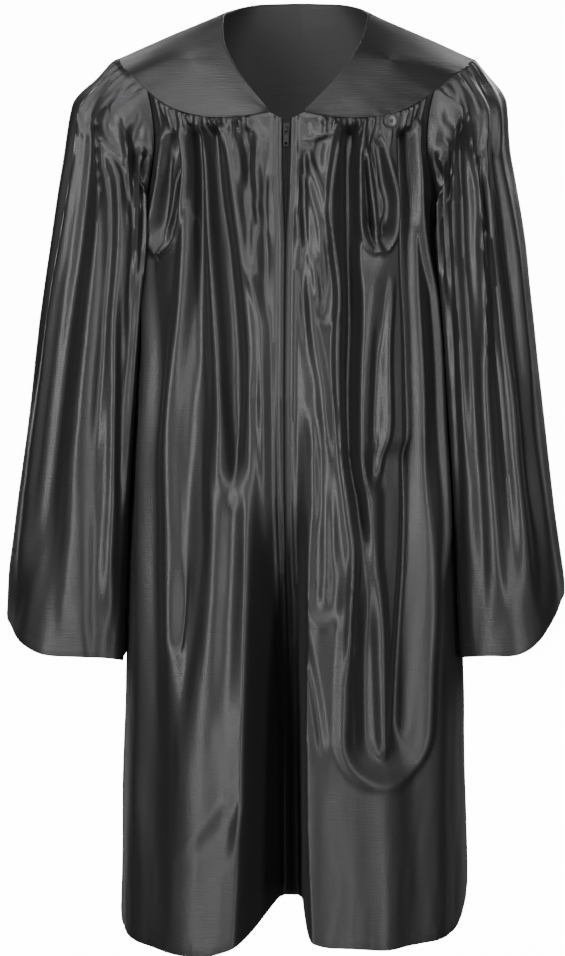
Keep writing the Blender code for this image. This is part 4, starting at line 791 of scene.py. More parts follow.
def shares_beside_zip(distances, z):
    """The shares round the body at those distances from the centre front, to the right and to the left."""
    heights, away, found = ZIP_MAP
    row = np.clip((heights[0] - z[:, None]) / (heights[0] - heights[1]), 0, len(heights) - 1.001)
    column = np.clip(distances / away[1], 0, len(away) - 1.001)
    row, column = np.broadcast_arrays(row, column)
    i, j = row.astype(int), column.astype(int)
    a, b = row - i, column - j
    return [(grid[i, j] * (1 - b) + grid[i, j + 1] * b) * (1 - a)
            + (grid[i + 1, j] * (1 - b) + grid[i + 1, j + 1] * b) * a for grid in found]


ZIP_MAP = zip_map()


def zip_gap(z):
    """How far each front's edge lies from the middle of the zip."""
    return look_up(ZIP_OPENING, z, "half")


def front_rows(shares, rows):
    """Heights down the cloth, from its upper edge to the hem, at each share."""
    top, low = body_top(shares), hem_z(shares)
    return top + (low - top) * crowded(rows)[:, None]


def hem_thickness(to_edge):
    """The cloth's thickness, with the turned hem's."""
    return CLOTH + (HEM["thick"] - CLOTH) * ramp((HEM["turned"] - to_edge) / 1.5)


def edge_roll(to_edge):
    """How far a piece's edge rolls in."""
    return -EDGE["drop"] * (1 - np.clip(to_edge / EDGE["roll"], 0, 1)) ** 2


def hem_relief(to_edge):
    """The hem's edge rolls in, and its line of stitches pulls the cloth in a little."""
    return edge_roll(to_edge) - 0.25 * bump((to_edge - HEM["turned"]) / 1.6)


def build_front(name, side):
    """A front, from its band beside the zip, over the centre fold's side, to the side seam."""
    z_centre = front_rows(np.zeros(1), GRID["rows"])[:, 0]
    gap = zip_gap(z_centre)[:, None]
    distances = gap + (ZIP_REACH - gap) * np.linspace(0, 1, GRID["band"] + 1) ** 1.3
    band = shares_beside_zip(distances, z_centre)[0 if side < 0 else 1]
    seam = np.linspace(VALLEY_SHARE, ARMHOLE_START, GRID["front"])
    armhole = armhole_point(np.linspace(0, 1, GRID["armhole"] + 1))[0][1:]
    inward = np.linspace(0, 1, GRID["valley"] + 1)[1:-1]
    valley = band[:, -1:] + (seam[0] - band[:, -1:]) * inward
    rest = np.broadcast_to(np.concatenate([seam, armhole]), (len(z_centre), len(seam) + len(armhole)))
    shares = side * np.concatenate([band, valley, rest], axis=1)
    z = front_rows(shares, GRID["rows"])
    points = body_point(shares, z)
    from_edge = np.full(shares.shape, 99.0)
    from_edge[:, :band.shape[1]] = distances - gap
    to_hem = z - hem_z(shares)
    stitched = sum(height * bump((from_edge - far) / wide) for far, wide, height in PLACKET)
    thick = np.maximum(hem_thickness(to_hem), hem_thickness(from_edge + 1.0) * 0.75)
    return raised_shell(name, points, skin_normals(points, plan_normal(shares)),
                        hem_relief(to_hem) + edge_roll(from_edge) + stitched, thick)


def build_back(name):
    """The back, cut in one, from side seam to side seam."""
    half = np.concatenate([armhole_point(np.linspace(1, 2, GRID["back_armhole"] + 1))[0],
                           np.linspace(ARMHOLE_END, 1, GRID["back"])[1:]])
    shares = np.concatenate([half, 2 - half[-2::-1]])
    z = front_rows(centred(shares), GRID["back_rows"])
    shares = np.broadcast_to(shares, z.shape)
    points = body_point(shares, z)
    to_hem = z - hem_z(centred(shares))
    return raised_shell(name, points, skin_normals(points, plan_normal(centred(shares))), hem_relief(to_hem),
                        hem_thickness(to_hem))


def neck_point(share):
    """The neck edge at a share round the gown, from the yoke's front point to the middle of the back."""
    points = np.stack([NECK_EDGE[name] for name in "xyz"], -1)
    length = travelled(points)
    shoulder = length[NECK_SHOULDER_POINT]
    side = np.abs(share)
    in_front = (side - YOKE_POINT_SHARE) / (SIDE_SHARE - YOKE_POINT_SHARE) * shoulder
    behind = shoulder + (side - SIDE_SHARE) / (1 - SIDE_SHARE) * (length[-1] - shoulder)
    way = np.where(side < SIDE_SHARE, in_front, behind)
    x, y, z = (smooth(way, length, points[:, k]) for k in range(3))
    return np.stack([x * np.sign(share), y, z], -1)


def yoke_point(share, way):
    """A point of the yoke: way 0 at the neck edge and 100 at the seam under its outer edge, which laps a little
    over the gathered cloth."""
    share, way = np.broadcast_arrays(np.asarray(share, float), np.asarray(way, float) / 100)
    share = centred(share)
    edge = plain_body(share, yoke_edge_z(share))
    neck = neck_point(share)
    side = np.abs(share)
    swell = between(YOKE_SWELL, ramp((side - 0.58) / 0.3))
    swell = swell * np.sin(np.pi * np.clip(way, 0, 1)) * ramp((side - 0.04) / 0.2)
    lean = np.cos(np.pi * side)
    out = np.stack([0.25 * np.sign(share) * np.sin(np.pi * side), -0.8 * lean, 0.6 + 0 * lean], -1)
    across = np.where(share < 0, share + 2, share) * 400
    waves, puckers = (sum(height * noise(seed, across / wide, way * many) for seed, height, wide, many in rows)
                      for rows in (YOKE_WAVES, YOKE_PUCKERS))
    puckers = puckers * ramp((way - 0.80) / 0.2) * ramp((side - YOKE_POINT_SHARE - 0.03) / 0.12)
    groove = -YOKE_GROOVE["depth"] * bump(np.abs(side - SIDE_SHARE) * 300 / YOKE_GROOVE["width"])
    rise = swell + (waves + puckers) * np.clip(way * 4, 0, 1) * ramp((side - YOKE_POINT_SHARE) / 0.08) + groove
    return neck + (edge - neck) * way[..., None] + out * rise[..., None]


def build_yoke(name, shares):
    """A yoke piece with a turned edge all round that is a little thicker than its middle."""
    lap = 100 * SEAM["lap"] / YOKE_LENGTH
    steps = np.linspace(0, 1, GRID["yoke_rows"])
    ways = ((100 + lap) * (1 - np.cos(steps * math.pi)) / 2)[:, None]
    shares = shares[None, :]
    points = yoke_point(shares, ways)
    own = normals(yoke_point, shares, np.clip(ways, 0, 100), step_a=0.002, step_b=0.5)
    # Its last fifth turns to the body's own outward direction, so that it laps level over the seam
    blend = ramp((np.broadcast_to(ways, own.shape[:2])[..., None] - 80) / 20)
    out = unit(own * (1 - blend) + plan_normal(centred(shares)) * blend)
    to_seam, to_neck = (np.broadcast_to(way * YOKE_LENGTH / 100, own.shape[:2]) for way in (100 + lap - ways, ways))
    relief = edge_roll(to_seam) + edge_roll(to_neck) + 0.5 * ramp(1 - to_seam / 6.0)
    return raised_shell(name, points, out, relief, 0.9 + 0.3 * ramp((6.0 - to_neck) / 1.5))


def body_side_x(y, z):
    """How far out the body's plain side reaches at a given depth and height."""
    half, front, back, _ = body_size(z)
    deep = np.abs(y - BODY_FORWARD) / np.where(y < BODY_FORWARD, front, back)
    return half * np.maximum(1 - np.clip(deep, 0, 1) ** SHAPE_POWER, 0) ** (1 / SHAPE_POWER)


def on_yoke(turn):
    """Whether the sleeve is sewn to the yoke there, and not to the armhole."""
    return (turn <= 0.25) | (turn >= 0.75)


def sewn_share(turn):
    """Where the sleeve's sewn edge meets the gown: along the front yoke edge (turn 0 to 0.25), down and up the
    armhole (to 0.75), and back along the back yoke edge."""
    on_front = SIDE_SHARE + (ARMHOLE_START - SIDE_SHARE) * np.clip(turn * 4, 0, 1)
    on_back = SIDE_SHARE + (ARMHOLE_END - SIDE_SHARE) * np.clip((1 - turn) * 4, 0, 1)
    share, z = armhole_point(np.clip(turn * 4 - 1, 0, 2))
    share = np.where(turn < 0.25, on_front, np.where(turn > 0.75, on_back, share))
    return share, np.where(on_yoke(turn), yoke_edge_z(share), z)


def sleeve_ring(turn):
    """The sleeve's sewn edge on the wearer's left: tucked under the yoke, and lapping over the body's armhole."""
    share, z = sewn_share(turn)
    point = plain_body(share, z)
    out = plan_normal(share)
    to_middle = unit(np.stack([0 * z, SLEEVE_MIDDLE_Y - point[..., 1], ARM_Z - point[..., 2]], -1))
    under = point - SLEEVE_SEAM["under"] * out
    over = point + SLEEVE_SEAM["out"] * out - SLEEVE_SEAM["lap"] * to_middle
    blend = ramp(np.minimum(np.abs(turn - 0.25), np.abs(turn - 0.75)) / 0.012)
    from_yoke = np.where(on_yoke(turn), 0.5 + 0.5 * blend, 0.5 - 0.5 * blend)[..., None]
    return over + (under - over) * from_yoke


def cuff_z(name, turn):
    """The height of a sleeve's cuff at a turn round it."""
    heights = np.array([*CUFF_HEIGHTS[name], CUFF_HEIGHTS[name][0]])
    quarter = np.floor(turn * 4).astype(int) % 4
    return heights[quarter] + (heights[quarter + 1] - heights[quarter]) * ramp(turn * 4 - quarter)


def hanging_sleeve(name, turn, below, z):
    """x and y of the sleeve where it hangs free. It wraps the body's side but stays clear of it."""
    outer, front, back = look_up(SLEEVE, z, name, "front", "back")
    inner = body_side_x(SLEEVE_MIDDLE_Y, z) - SLEEVE_TUCK
    angle = turn * 2 * math.pi
    out_x, out_y = np.cos(angle), -np.sin(angle)
    power = np.where(out_x > 0, SLEEVE_WRAP["outside"], np.where(out_y < 0, *SLEEVE_WRAP[name]))
    soft = SLEEVE_WRAP["soft"] ** 2
    wrap = out_x * ((out_x ** 2 + soft) / (1 + soft)) ** ((power - 1) / 2)
    x = (outer + inner) / 2 + (outer - inner) / 2 * wrap
    y = SLEEVE_MIDDLE_Y + out_y * np.where(out_y < 0, front, back)
    stand = sleeve_folds(name, turn, below, z)
    x, y = x + out_x * stand, y + out_y * stand
    lift = ramp(below / SLEEVE_CLEAR["over"])
    clear = body_side_x(y, z) + SLEEVE_CLEAR["top"] + (SLEEVE_CLEAR["low"] - SLEEVE_CLEAR["top"]) * lift
    over, soft = x - clear, SLEEVE_CLEAR["soft"]
    eased = clear + (over + np.sqrt(over * over + soft * soft)) / 2 - soft / 2 * ramp(1 - below / 10.0)
    return np.maximum(eased, clear), y


def head_gathers(turn, below):
    """The gathers along the sleeve's seams under the yoke."""
    count, height, turns = GATHERS["sleeve"], GATHERS["sleeve_height"], SLEEVE_PUFF["gathered"]
    front = gathers(turn / turns, below, count, height) * (turn < turns)
    return front + gathers((1 - turn) / turns, below, count, height) * (turn > 1 - turns)


def sleeve_folds(name, turn, below, z):
    """How far the sleeve's folds and the gathers along its yoke seams stand out."""
    way_round = smooth(z, SLEEVE["z"][[0, -1]], SLEEVE_ROUND)

    def across(place):
        return ((turn - place + 0.5) % 1.0 - 0.5) * way_round

    out = creased(SLEEVE_CREASES[name], across, below, SLEEVE_ROUND[0])
    out = out + tongued(SLEEVE_TONGUES[name], across, below)
    from_top = np.minimum(turn, 1 - turn)
    puff = bump((below - SLEEVE_PUFF["below"]) / SLEEVE_PUFF["reach"]) * faded(from_top, SLEEVE_PUFF["turns"])
    seed = 14 if name == "left" else 17
    ring = (turn + 0.5) % 1.0
    waves = wrinkles(seed, ring * way_round, below) * ramp(below / 30.0) * ramp(np.abs(ring) / 0.03)
    waves = waves * ramp((1 - ring) / 0.03)
    return out + head_gathers(turn, below) + waves + SLEEVE_PUFF["height"] * puff


def sleeve_point(side, turn, drop):
    """A point of the sleeve on one side (1 is the wearer's left). drop runs 0 to 100 from sewn edge to cuff."""
    name = SIDE_NAMES[side]
    turn, drop = np.broadcast_arrays(np.asarray(turn) % 1.0, np.clip(np.asarray(drop) / 100, 0, 1))
    ring = sleeve_ring(turn)
    z = ring[..., 2] + (cuff_z(name, turn) - ring[..., 2]) * drop
    below = ring[..., 2] - z
    x, y = hanging_sleeve(name, turn, below, z)
    distance = np.where(on_yoke(turn), SLEEVE_SETTLE["yoke"], SLEEVE_SETTLE["armhole"])
    settle = np.sin(np.clip(below / distance, 0, 1) * math.pi / 2)
    ring_x, ring_y = ring[..., 0], ring[..., 1]
    from_top = np.minimum(turn, 1 - turn)
    over, upright = SLEEVE_RISE, SLEEVE_UPRIGHT
    rise = over["height"] * faded(from_top, over["turns"]) * bump((below - over["below"]) / over["reach"])
    rise = rise * ramp(below / over["start"]) * (1 + over["uneven"] * noise(41, 60 * (turn + 0.5) % 60, below / 40))
    tip, tip_over = upright["tip_turns"]
    share = faded(from_top, upright["turns"]) * ramp(below / upright["start"]) * faded(below, upright["stop"])
    share = share * between((upright["at_tip"], 1.0), ramp((from_top - tip) / tip_over))
    rise = rise + upright["height"] * head_gathers(turn, below) * share
    return np.stack([side * (ring_x + (x - ring_x) * settle), ring_y + (y - ring_y) * settle, z + rise], -1)


def sleeve_turns(side):
    """Turns at nearly even steps round the sleeve's middle height."""
    fine = np.linspace(0, 1, 2401)
    ring = sum(np.linalg.norm(np.diff(sleeve_point(side, fine, way), axis=0), axis=1) for way in (35, 80))
    length = np.concatenate([[0], np.cumsum(ring)])
    return np.interp(np.linspace(0, length[-1], 2 * GRID["sleeve"] + 1)[:-1], length, fine)


def build_sleeve(name, side):
    """A sleeve, with its ring of points closed under the arm."""
    turns = sleeve_turns(side)[None, :]
    points = sleeve_point(side, turns, 100 * crowded(GRID["sleeve_rows"])[:, None])
    outward = np.stack([side * np.cos(turns * 2 * math.pi), -np.sin(turns * 2 * math.pi), 0 * turns], -1)
    to_hem = points[..., 2] - cuff_z(SIDE_NAMES[side], np.broadcast_to(turns, points.shape[:2]))
    return raised_shell(name, points, skin_normals(points, outward, closed=True), hem_relief(to_hem),
                        hem_thickness(to_hem), closed=True)


def band_points(distances, z, behind):
    """Points of a band behind the front edges, at distances from the centre front (below zero to the right)."""
    right, left = shares_beside_zip(np.abs(distances), z)
    shares = np.where(distances < 0, -right, left)
    heights = np.broadcast_to(z[:, None], shares.shape)
    points = body_point(shares, heights)
    out = normals(body_point, shares, heights)
    return points - behind * out, out


def zip_heights(pitch):
    """Heights at equal steps down the zip's folded line, from under the slider to the bottom stop."""
    z = np.linspace(ZIP_TOP_Z - 1.0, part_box("zip_stop")[1][2] / MM, 1200)
    length = travelled(body_point(np.zeros_like(z), z))
    return np.interp(np.arange(pitch, length[-1], pitch), length, z)


def build_tape(name, side):
    """A zip tape: a narrow woven strip with an edge under the teeth."""
    z = zip_heights(3.0)
    across = np.linspace(ZIP["coil"] / 2 - 0.9, ZIP_REACH, 9)
    points, out = band_points(side * np.broadcast_to(across, (len(z), len(across))), z, ZIP_BEHIND + 0.1)
    return shell(name, points, points - 0.5 * out)


def build_teeth(name):
    """The closed rows of coil teeth, in turn from either side, with their round heads past the middle."""
    z = zip_heights(ZIP["pitch"] / 2)
    points, faces = [], []
    sides, height = TOOTH["sides"], TOOTH["height"]
    angles, pairs = ring_steps(sides)
    for side in (-1, 1):
        heights = z[0 if side < 0 else 1::2]
        inner, out = band_points(np.full((len(heights), 1), side * -TOOTH["past"]), heights, ZIP_BEHIND)
        outer, _ = band_points(np.full((len(heights), 1), side * ZIP["coil"] / 2), heights, ZIP_BEHIND)
        along = unit(np.gradient(inner[:, 0], axis=0))
        for a, b, n, t in zip(inner[:, 0], outer[:, 0], out[:, 0], along):
            start = len(points)
            for end, wide in ((a, 0.46), (a * 0.75 + b * 0.25, 0.50), (b, 0.34)):
                points += [end + t * wide * math.cos(angle) + n * (height * math.sin(angle) - height)
                           for angle in angles]
            for low in (start, start + sides):
                faces += [(low + k, low + j, low + sides + j, low + sides + k) for k, j in pairs]
            faces += [[start + k for k in reversed(range(sides))], [start + 2 * sides + k for k in range(sides)]]
    return mesh_object(name, points, faces)


def ring_steps(sides):
    """The angles of a ring's points, and each point's number with the next one's."""
    return [2 * math.pi * k / sides for k in range(sides)], [(k, (k + 1) % sides) for k in range(sides)]


def stitch_line(points, out):
    """Points and faces of stitches along a line on the cloth: short rods with pointed, sunken ends."""
    steps = travelled(points)
    found, faces = [], []
    angles, pairs = ring_steps(STITCH["sides"])

    def at(distance, values):
        return np.array([np.interp(distance, steps, values[:, k]) for k in range(3)])

    for middle in np.arange(STITCH["apart"], steps[-1] - STITCH["apart"], STITCH["apart"]):
        a, b = (at(middle + half * STITCH["length"], points) for half in (-0.5, 0.5))
        n = unit(at(middle, out))
        beside = np.cross(unit(b - a), n)
        start = len(found)
        found += [a - 0.2 * n, b - 0.2 * n]
        for end in (a * 0.75 + b * 0.25, a * 0.25 + b * 0.75):
            for angle in angles:
                found.append(end + STITCH["radius"] * (1.25 * beside * math.cos(angle) + n * (math.sin(angle) + 0.3)))
        first, second = start + 2, start + 2 + STITCH["sides"]
        for k, j in pairs:
            faces += [(start, first + j, first + k), (start + 1, second + k, second + j),
                      (first + k, first + j, second + j, second + k)]
    return found, faces


def join_lines(name, lines):
    """One mesh object from several sets of points and faces."""
    points, faces = [], []
    for found, made in lines:
        start = len(points)
        points += found
        faces += [tuple(start + k for k in face) for face in made]
    return mesh_object(name, points, faces)


def hem_stitches(name):
    """The hem's stitches, all round the body."""
    lines = []
    for begin, stop, steps in ((0.02, SIDE_SHARE, 420), (SIDE_SHARE, 2 - SIDE_SHARE, 700), (-SIDE_SHARE, -0.02, 420)):
        shares = np.linspace(begin, stop, steps)
        z = hem_z(centred(shares)) + HEM["turned"]
        out = normals(body_point, shares, z)
        lines.append(stitch_line(body_point(shares, z) - SUNKEN * out, out))
    return join_lines(name, lines)


def cuff_stitches(name, side):
    """The stitches of one cuff."""
    turns = np.linspace(0, 1, 700)
    ring = sleeve_ring(turns % 1.0)
    cuff = cuff_z(SIDE_NAMES[side], turns % 1.0)
    drops = 100 * (ring[:, 2] - cuff - HEM["turned"]) / (ring[:, 2] - cuff)

    def surface(turn, drop):
        return sleeve_point(side, turn, drop)

    out = -side * normals(surface, turns, drops, step_a=0.002, step_b=0.2)
    return join_lines(name, [stitch_line(surface(turns, drops) - SUNKEN * out, out)])


def placket_stitches(name, side):
    """Two lines of stitches beside the zip, one near the edge and one through the tape."""
    z = zip_heights(2.0)[4:]
    lines = []
    for far, behind in PLACKET_STITCHES:
        points, out = band_points(side * (zip_gap(z)[:, None] + far), z, behind)
        lines.append(stitch_line(points[:, 0], out[:, 0]))
    return join_lines(name, lines)


def build_button(name):
    """The button: a dished disc with a raised rim and four holes. Also where it sits, for its threads."""
    out = Vector(normals(body_point, np.array(BUTTON_SHARE), np.array(BUTTON_Z)))
    low, high = (Vector(corner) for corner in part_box("button"))
    base = (low + high) / 2 - out * BUTTON["thick"] / 2 * MM
    place = Matrix.Translation(base) @ out.to_track_quat("Z", "Y").to_matrix().to_4x4()
    radius, thick, rim, dish = (BUTTON[key] for key in ("radius", "thick", "rim", "dish"))
    profile = [(0.0, 0.0), (radius - 0.9, 0.0), (radius - 0.25, 0.25), (radius, 0.8), (radius, thick - 0.7),
               (radius - 0.2, thick - 0.2), (radius - 0.5, thick), (radius - rim, thick - 0.1),
               (radius - rim - 0.35, thick - 0.6), (radius * 0.45, thick - dish), (0.0, thick - dish)]
    angles, pairs = ring_steps(BUTTON["sides"])
    mesh = bmesh.new()
    rings = [[mesh.verts.new(Vector((r * math.cos(a), r * math.sin(a), h)) * MM) for a in (angles if r else [0.0])]
             for r, h in profile]
    for lower, upper in zip(rings, rings[1:]):
        for k, j in pairs:
            corners = [lower[k % len(lower)], lower[j % len(lower)], upper[j % len(upper)], upper[k % len(upper)]]
            mesh.faces.new(list(dict.fromkeys(corners)))
    bmesh.ops.recalc_face_normals(mesh, faces=mesh.faces)
    data = bpy.data.meshes.new(name)
    mesh.to_mesh(data)
    mesh.free()
    button = add_object(name, data)
    apart = BUTTON["hole_apart"] * MM
    for number in range(4):
        angle = math.pi / 4 + number * math.pi / 2
        bpy.ops.mesh.primitive_cylinder_add(vertices=16, radius=BUTTON["hole"] * MM, depth=3 * thick * MM)
        cutter = bpy.context.object
        cutter.matrix_world = Matrix.Translation((apart * math.cos(angle), apart * math.sin(angle), 0))
        cut = button.modifiers.new("hole", "BOOLEAN")
        cut.operation, cut.object = "DIFFERENCE", cutter
        bpy.context.view_layer.update()
        apply_modifiers(button)
        bpy.data.objects.remove(cutter)
    button.data.transform(place)
    button.data.shade_smooth()
    button.data.set_sharp_from_angle(angle=math.radians(35))
    return button, place


def apply_modifiers(thing):
    evaluated = thing.evaluated_get(bpy.context.evaluated_depsgraph_get())
    data = bpy.data.meshes.new_from_object(evaluated)
    thing.modifiers.clear()
    thing.data = data


def tube(route, radius, sides=8):
    """Points and faces of a round thread along a short route in millimetres."""
    route = np.asarray(route, float)
    along = unit(np.gradient(route, axis=0))
    beside = unit(np.cross(along, [0.3, 0.2, 1.0]))
    above = np.cross(beside, along)
    turn = 2 * math.pi * np.arange(sides) / sides
    rings = route[:, None] + radius * (beside[:, None] * np.cos(turn)[:, None] + above[:, None] * np.sin(turn)[:, None])
    _, pairs = ring_steps(sides)
    last = (len(route) - 1) * sides
    faces = [(low + k, low + j, low + sides + j, low + sides + k) for low in range(0, last, sides) for k, j in pairs]
    faces += [list(range(sides))[::-1], [last + k for k in range(sides)]]
    return list(rings.reshape(-1, 3)), faces


def button_thread(name, place):
    """Thread crossed through the button's four holes."""
    high, reach = BUTTON["thick"] - BUTTON["dish"], BUTTON["hole_apart"]
    way = np.linspace(-1, 1, 13)
    rise = high + 0.35 * (1 - way ** 4) - 0.9 * (np.abs(way) > 0.95)
    made = []
    for angle in (math.pi / 4, 3 * math.pi / 4):
        for shift in (-0.16, 0.16):
            x = way * reach * math.cos(angle) - shift * math.sin(angle)
            y = way * reach * math.sin(angle) + shift * math.cos(angle)
            made.append(tube(np.stack([x, y, rise], -1), 0.15))
    thing = join_lines(name, made)
    thing.data.transform(place)
    return thing


def button_loop(name, place):
    """A thin cord from under the yoke round the button's stem."""
    turn = np.radians(np.linspace(108, 432, 40))
    ring = BUTTON["radius"] + 0.35
    route = np.stack([ring * np.cos(turn), ring * np.sin(turn), 0.9 + 0 * turn], -1)
    thing = join_lines(name, [tube([[-0.9, 7.6, 0.2], *route, [0.9, 7.6, 0.2]], 0.42)])
    thing.data.transform(place)
    return thing


def feed(made, node, inputs):
    """Sets a node's inputs to values, or links them to other nodes' outputs."""
    for key, value in inputs.items():
        if isinstance(value, bpy.types.NodeSocket):
            made.node_tree.links.new(value, node.inputs[key])
        else:
            node.inputs[key].default_value = value


def add_node(made, kind, output, inputs, **settings):
    """The named output of a new node with these inputs and settings."""
    node = made.node_tree.nodes.new(kind)
    for key, value in settings.items():
        setattr(node, key, value)
    feed(made, node, inputs)
    return node.outputs[output]


def new_material(name, color, roughness, metallic=0.0, specular=0.5):
    """A material with these values, and its shader."""
    made = bpy.data.materials.new(name)
    made.use_nodes = True
    shader = made.node_tree.nodes["Principled BSDF"]
    feed(made, shader, {"Base Color": (*color, 1.0), "Roughness": roughness, "Metallic": metallic,
                        "Specular IOR Level": specular})
    return made, shader


def placed_noise(made, stretch, scale, detail=3.0):
    """A noise texture in the gown's own space, stretched by three factors."""
    place = add_node(made, "ShaderNodeTexCoord", "Object", {})
    stretched = add_node(made, "ShaderNodeMapping", "Vector", {"Vector": place, "Scale": stretch})
    return add_node(made, "ShaderNodeTexNoise", "Fac", {"Vector": stretched, "Scale": scale, "Detail": detail})


def mapped(made, value, low, high, to_low, to_high):
    """A value brought from between low and high to between two other ends."""
    return add_node(made, "ShaderNodeMapRange", "Result", {
        "Value": value, "From Min": low, "From Max": high, "To Min": to_low, "To Max": to_high})


def satin_material(name):
    """Black satin: fine uneven ribs across the gown, a soft gloss that dulls towards the hem, and a duller inside
    whose colour is painted paler: painted light inside the neck.
    """
    made, shader = new_material(name, SATIN["base"], SATIN["top"], specular=0.55)

    def times_plus(value, factor, more):
        return add_node(made, "ShaderNodeMath", "Value", {0: value, 1: factor, 2: more}, operation="MULTIPLY_ADD")

    def mixed(share, first, second):
        return add_node(made, "ShaderNodeMix", 2, {0: share, 6: first, 7: second}, data_type="RGBA")

    # The satin's colour times a factor: the dye's random tone, and the painted light on the inner face
    def dye_and_painted_light(factor):
        return (*(factor * c for c in SATIN["base"]), 1.0)

    ribs = placed_noise(made, SATIN["ribs"], 1.0, 2.0)
    threads = placed_noise(made, SATIN["threads"], 1.0, 1.0)
    shine = placed_noise(made, SATIN["shine"], 2.0, 4.0)
    dye = placed_noise(made, SATIN["dye"], 1.0, 2.0)
    inside = add_node(made, "ShaderNodeAttribute", "Fac", {}, attribute_name="inside")
    place = add_node(made, "ShaderNodeTexCoord", "Object", {})
    height = add_node(made, "ShaderNodeSeparateXYZ", "Z", {"Vector": place})
    dull = times_plus(shine, SATIN["varies"], mapped(made, height, -0.30, -0.66, SATIN["top"], SATIN["hem"]))
    feed(made, shader, {
        "Sheen Weight": SATIN["sheen"], "Sheen Roughness": 0.4, "Anisotropic": 0.6, "Anisotropic Rotation": 0.25,
        "Tangent": add_node(made, "ShaderNodeTangent", "Tangent", {}, direction_type="RADIAL", axis="Z"),
        "Normal": add_node(made, "ShaderNodeBump", "Normal", {
            "Strength": 0.7, "Distance": 0.00035, "Height": times_plus(threads, 0.35, ribs)}),
        "Roughness": times_plus(inside, SATIN["inner_dull"], dull),
        # The inner face's colour is painted paler: painted light standing in for light inside the neck
        "Base Color": mixed(inside, mixed(dye, dye_and_painted_light(0.75), dye_and_painted_light(1.3)), dye_and_painted_light(SATIN["inner_painted_light"])),
    })
    return made


def plain_material(name, base, roughness, metallic, stretch, bump_distance, specular):
    """A finish with small bumps and uneven shine, for tape, thread, plastic and metal."""
    made, shader = new_material(name, base, roughness[0], metallic, specular)
    grain = placed_noise(made, stretch, 1.0)
    feed(made, shader, {
        "Normal": add_node(made, "ShaderNodeBump", "Normal", {
            "Strength": 0.3, "Distance": bump_distance, "Height": grain}),
        "Roughness": mapped(made, grain, 0.3, 0.7, *roughness),
    })
    return made


def dress(thing, look):
    thing.data.materials.clear()
    thing.data.materials.append(look)


def add_piece(piece, look, node=None):
    """Gives a piece its look, hangs it on the gown's body, and hides the model's solid that it replaces."""
    dress(piece, look)
    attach(piece, "gown")
    if node:
        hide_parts(node)


def build_stage():
    """A pale floor under the gown and a pale wall all round, which only the camera sees."""
    made, shader = new_material("studio_white", (0.8, 0.8, 0.8), 0.9)
    feed(made, shader, {"Emission Color": (1.0, 1.0, 1.0, 1.0), "Emission Strength": STAGE["glow"]})
    sides = STAGE["sides"]
    turn = 2 * math.pi * np.arange(sides) / sides
    ring = np.stack([STAGE["radius"] * np.cos(turn), STAGE["radius"] * np.sin(turn), 0 * turn + STAGE["floor"]], -1)
    floor = mesh_object("floor", ring, [list(range(sides))])
    faces = [(k, j, sides + j, sides + k) for k, j in ring_steps(sides)[1]]
    wall = mesh_object("backdrop", np.concatenate([ring, ring + [0, 0, STAGE["high"]]]), faces)
    for thing in (floor, wall):
        dress(thing, made)
        thing.visible_glossy = thing.visible_diffuse = thing.visible_shadow = False


def away(azimuth, elevation):
    """The direction from the gown to an azimuth and elevation round it."""
    a, e = math.radians(azimuth), math.radians(elevation)
    return Vector((math.sin(a) * math.cos(e), -math.cos(a) * math.cos(e), math.sin(e)))


def aim(thing, location, back):
    """Puts a light or the camera in its place, turned to the gown."""
    thing.location = location
    thing.rotation_euler = (-back).to_track_quat("-Z", "Y").to_euler()


def add_light(name, azimuth, elevation, distance, size, power):
    """A soft rectangular light that the camera doesn't see."""
    back = away(azimuth, elevation)
    data = bpy.data.lights.new(name, "AREA")
    data.shape, data.size, data.size_y, data.energy = "RECTANGLE", size[0], size[1], power
    lamp = add_object(name, data)
    aim(lamp, Vector(PICTURE["aim"]) * MM + back * distance, back)
    lamp.visible_camera = False


def build_lights():
    """A dim grey world and the soft lights."""
    world = bpy.data.worlds.new("studio")
    world.use_nodes = True
    feed(world, world.node_tree.nodes["Background"], {"Color": (0.5, 0.5, 0.5, 1.0), "Strength": 0.04})
    bpy.context.scene.world = world
    for name, values in LIGHTS.items():
        add_light(name, *values)


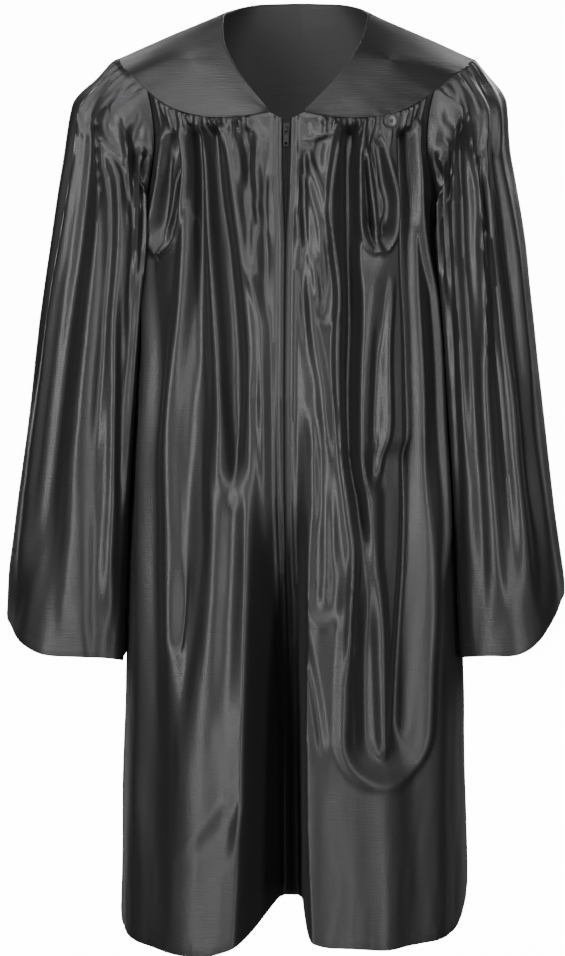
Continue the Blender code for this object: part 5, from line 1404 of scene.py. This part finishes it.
def build_camera():
    """The camera at the picture's angle and distance."""
    back = away(PICTURE["azimuth"], PICTURE["elevation"])
    data = bpy.data.cameras.new("camera")
    data.sensor_width, data.sensor_fit = PICTURE["sensor"], "AUTO"
    data.lens = PICTURE["sensor"] * PICTURE["distance"] / (PICTURE["height"] * PICTURE["mm_per_pixel"])
    camera = add_object("camera", data)
    aim(camera, (Vector(PICTURE["aim"]) + back * PICTURE["distance"]) * MM, back)
    bpy.context.scene.camera = camera


def build_cloth():
    """The visible pieces of cloth, by the node that each stands for."""
    front = np.linspace(YOKE_POINT_SHARE + 0.001, SIDE_SHARE, GRID["yoke_front"])
    back = np.linspace(SIDE_SHARE, 2 - SIDE_SHARE, GRID["yoke_back"])
    return {
        "front_right": build_front("panel_front_right", -1),
        "front_left": build_front("panel_front_left", 1),
        "back": build_back("panel_back"),
        "sleeve_right": build_sleeve("sleeve_shell_right", -1),
        "sleeve_left": build_sleeve("sleeve_shell_left", 1),
        "yoke_front_right": build_yoke("yoke_shell_front_right", -front),
        "yoke_front_left": build_yoke("yoke_shell_front_left", front),
        "yoke_back": build_yoke("yoke_shell_back", back),
    }


def main():
    build_camera()
    build_lights()
    build_stage()
    satin = satin_material("satin_cloth")
    looks = {name: plain_material(name, *values) for name, values in FINISHES.items()}

    pieces = build_cloth()
    for node, piece in pieces.items():
        add_piece(piece, satin, node)

    sewing = [hem_stitches("hem_stitches")]
    sewing += [cuff_stitches("cuff_stitches_" + name, side) for side, name in SIDE_NAMES.items()]
    sewing += [placket_stitches("placket_stitches_" + name, side) for side, name in SIDE_NAMES.items()]
    for thing in sewing:
        add_piece(thing, looks["black_thread"])

    for side, name in SIDE_NAMES.items():
        tape = build_tape("tape_" + name, side)
        add_piece(tape, looks["woven_tape"], "zip_tape_" + name)
    add_piece(build_teeth("coil_teeth"), looks["nylon_coil"], "zip_coil")

    button, place = build_button("button_disc")
    add_piece(button, looks["dark_plastic"], "button")
    for cord in (button_thread("button_thread", place), button_loop("button_loop", place)):
        add_piece(cord, looks["black_thread"])
    for node in ("zip_slider", "zip_pull", "zip_stop"):
        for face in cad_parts[node].material_slots:
            face.material = looks["dark_metal"]


main()
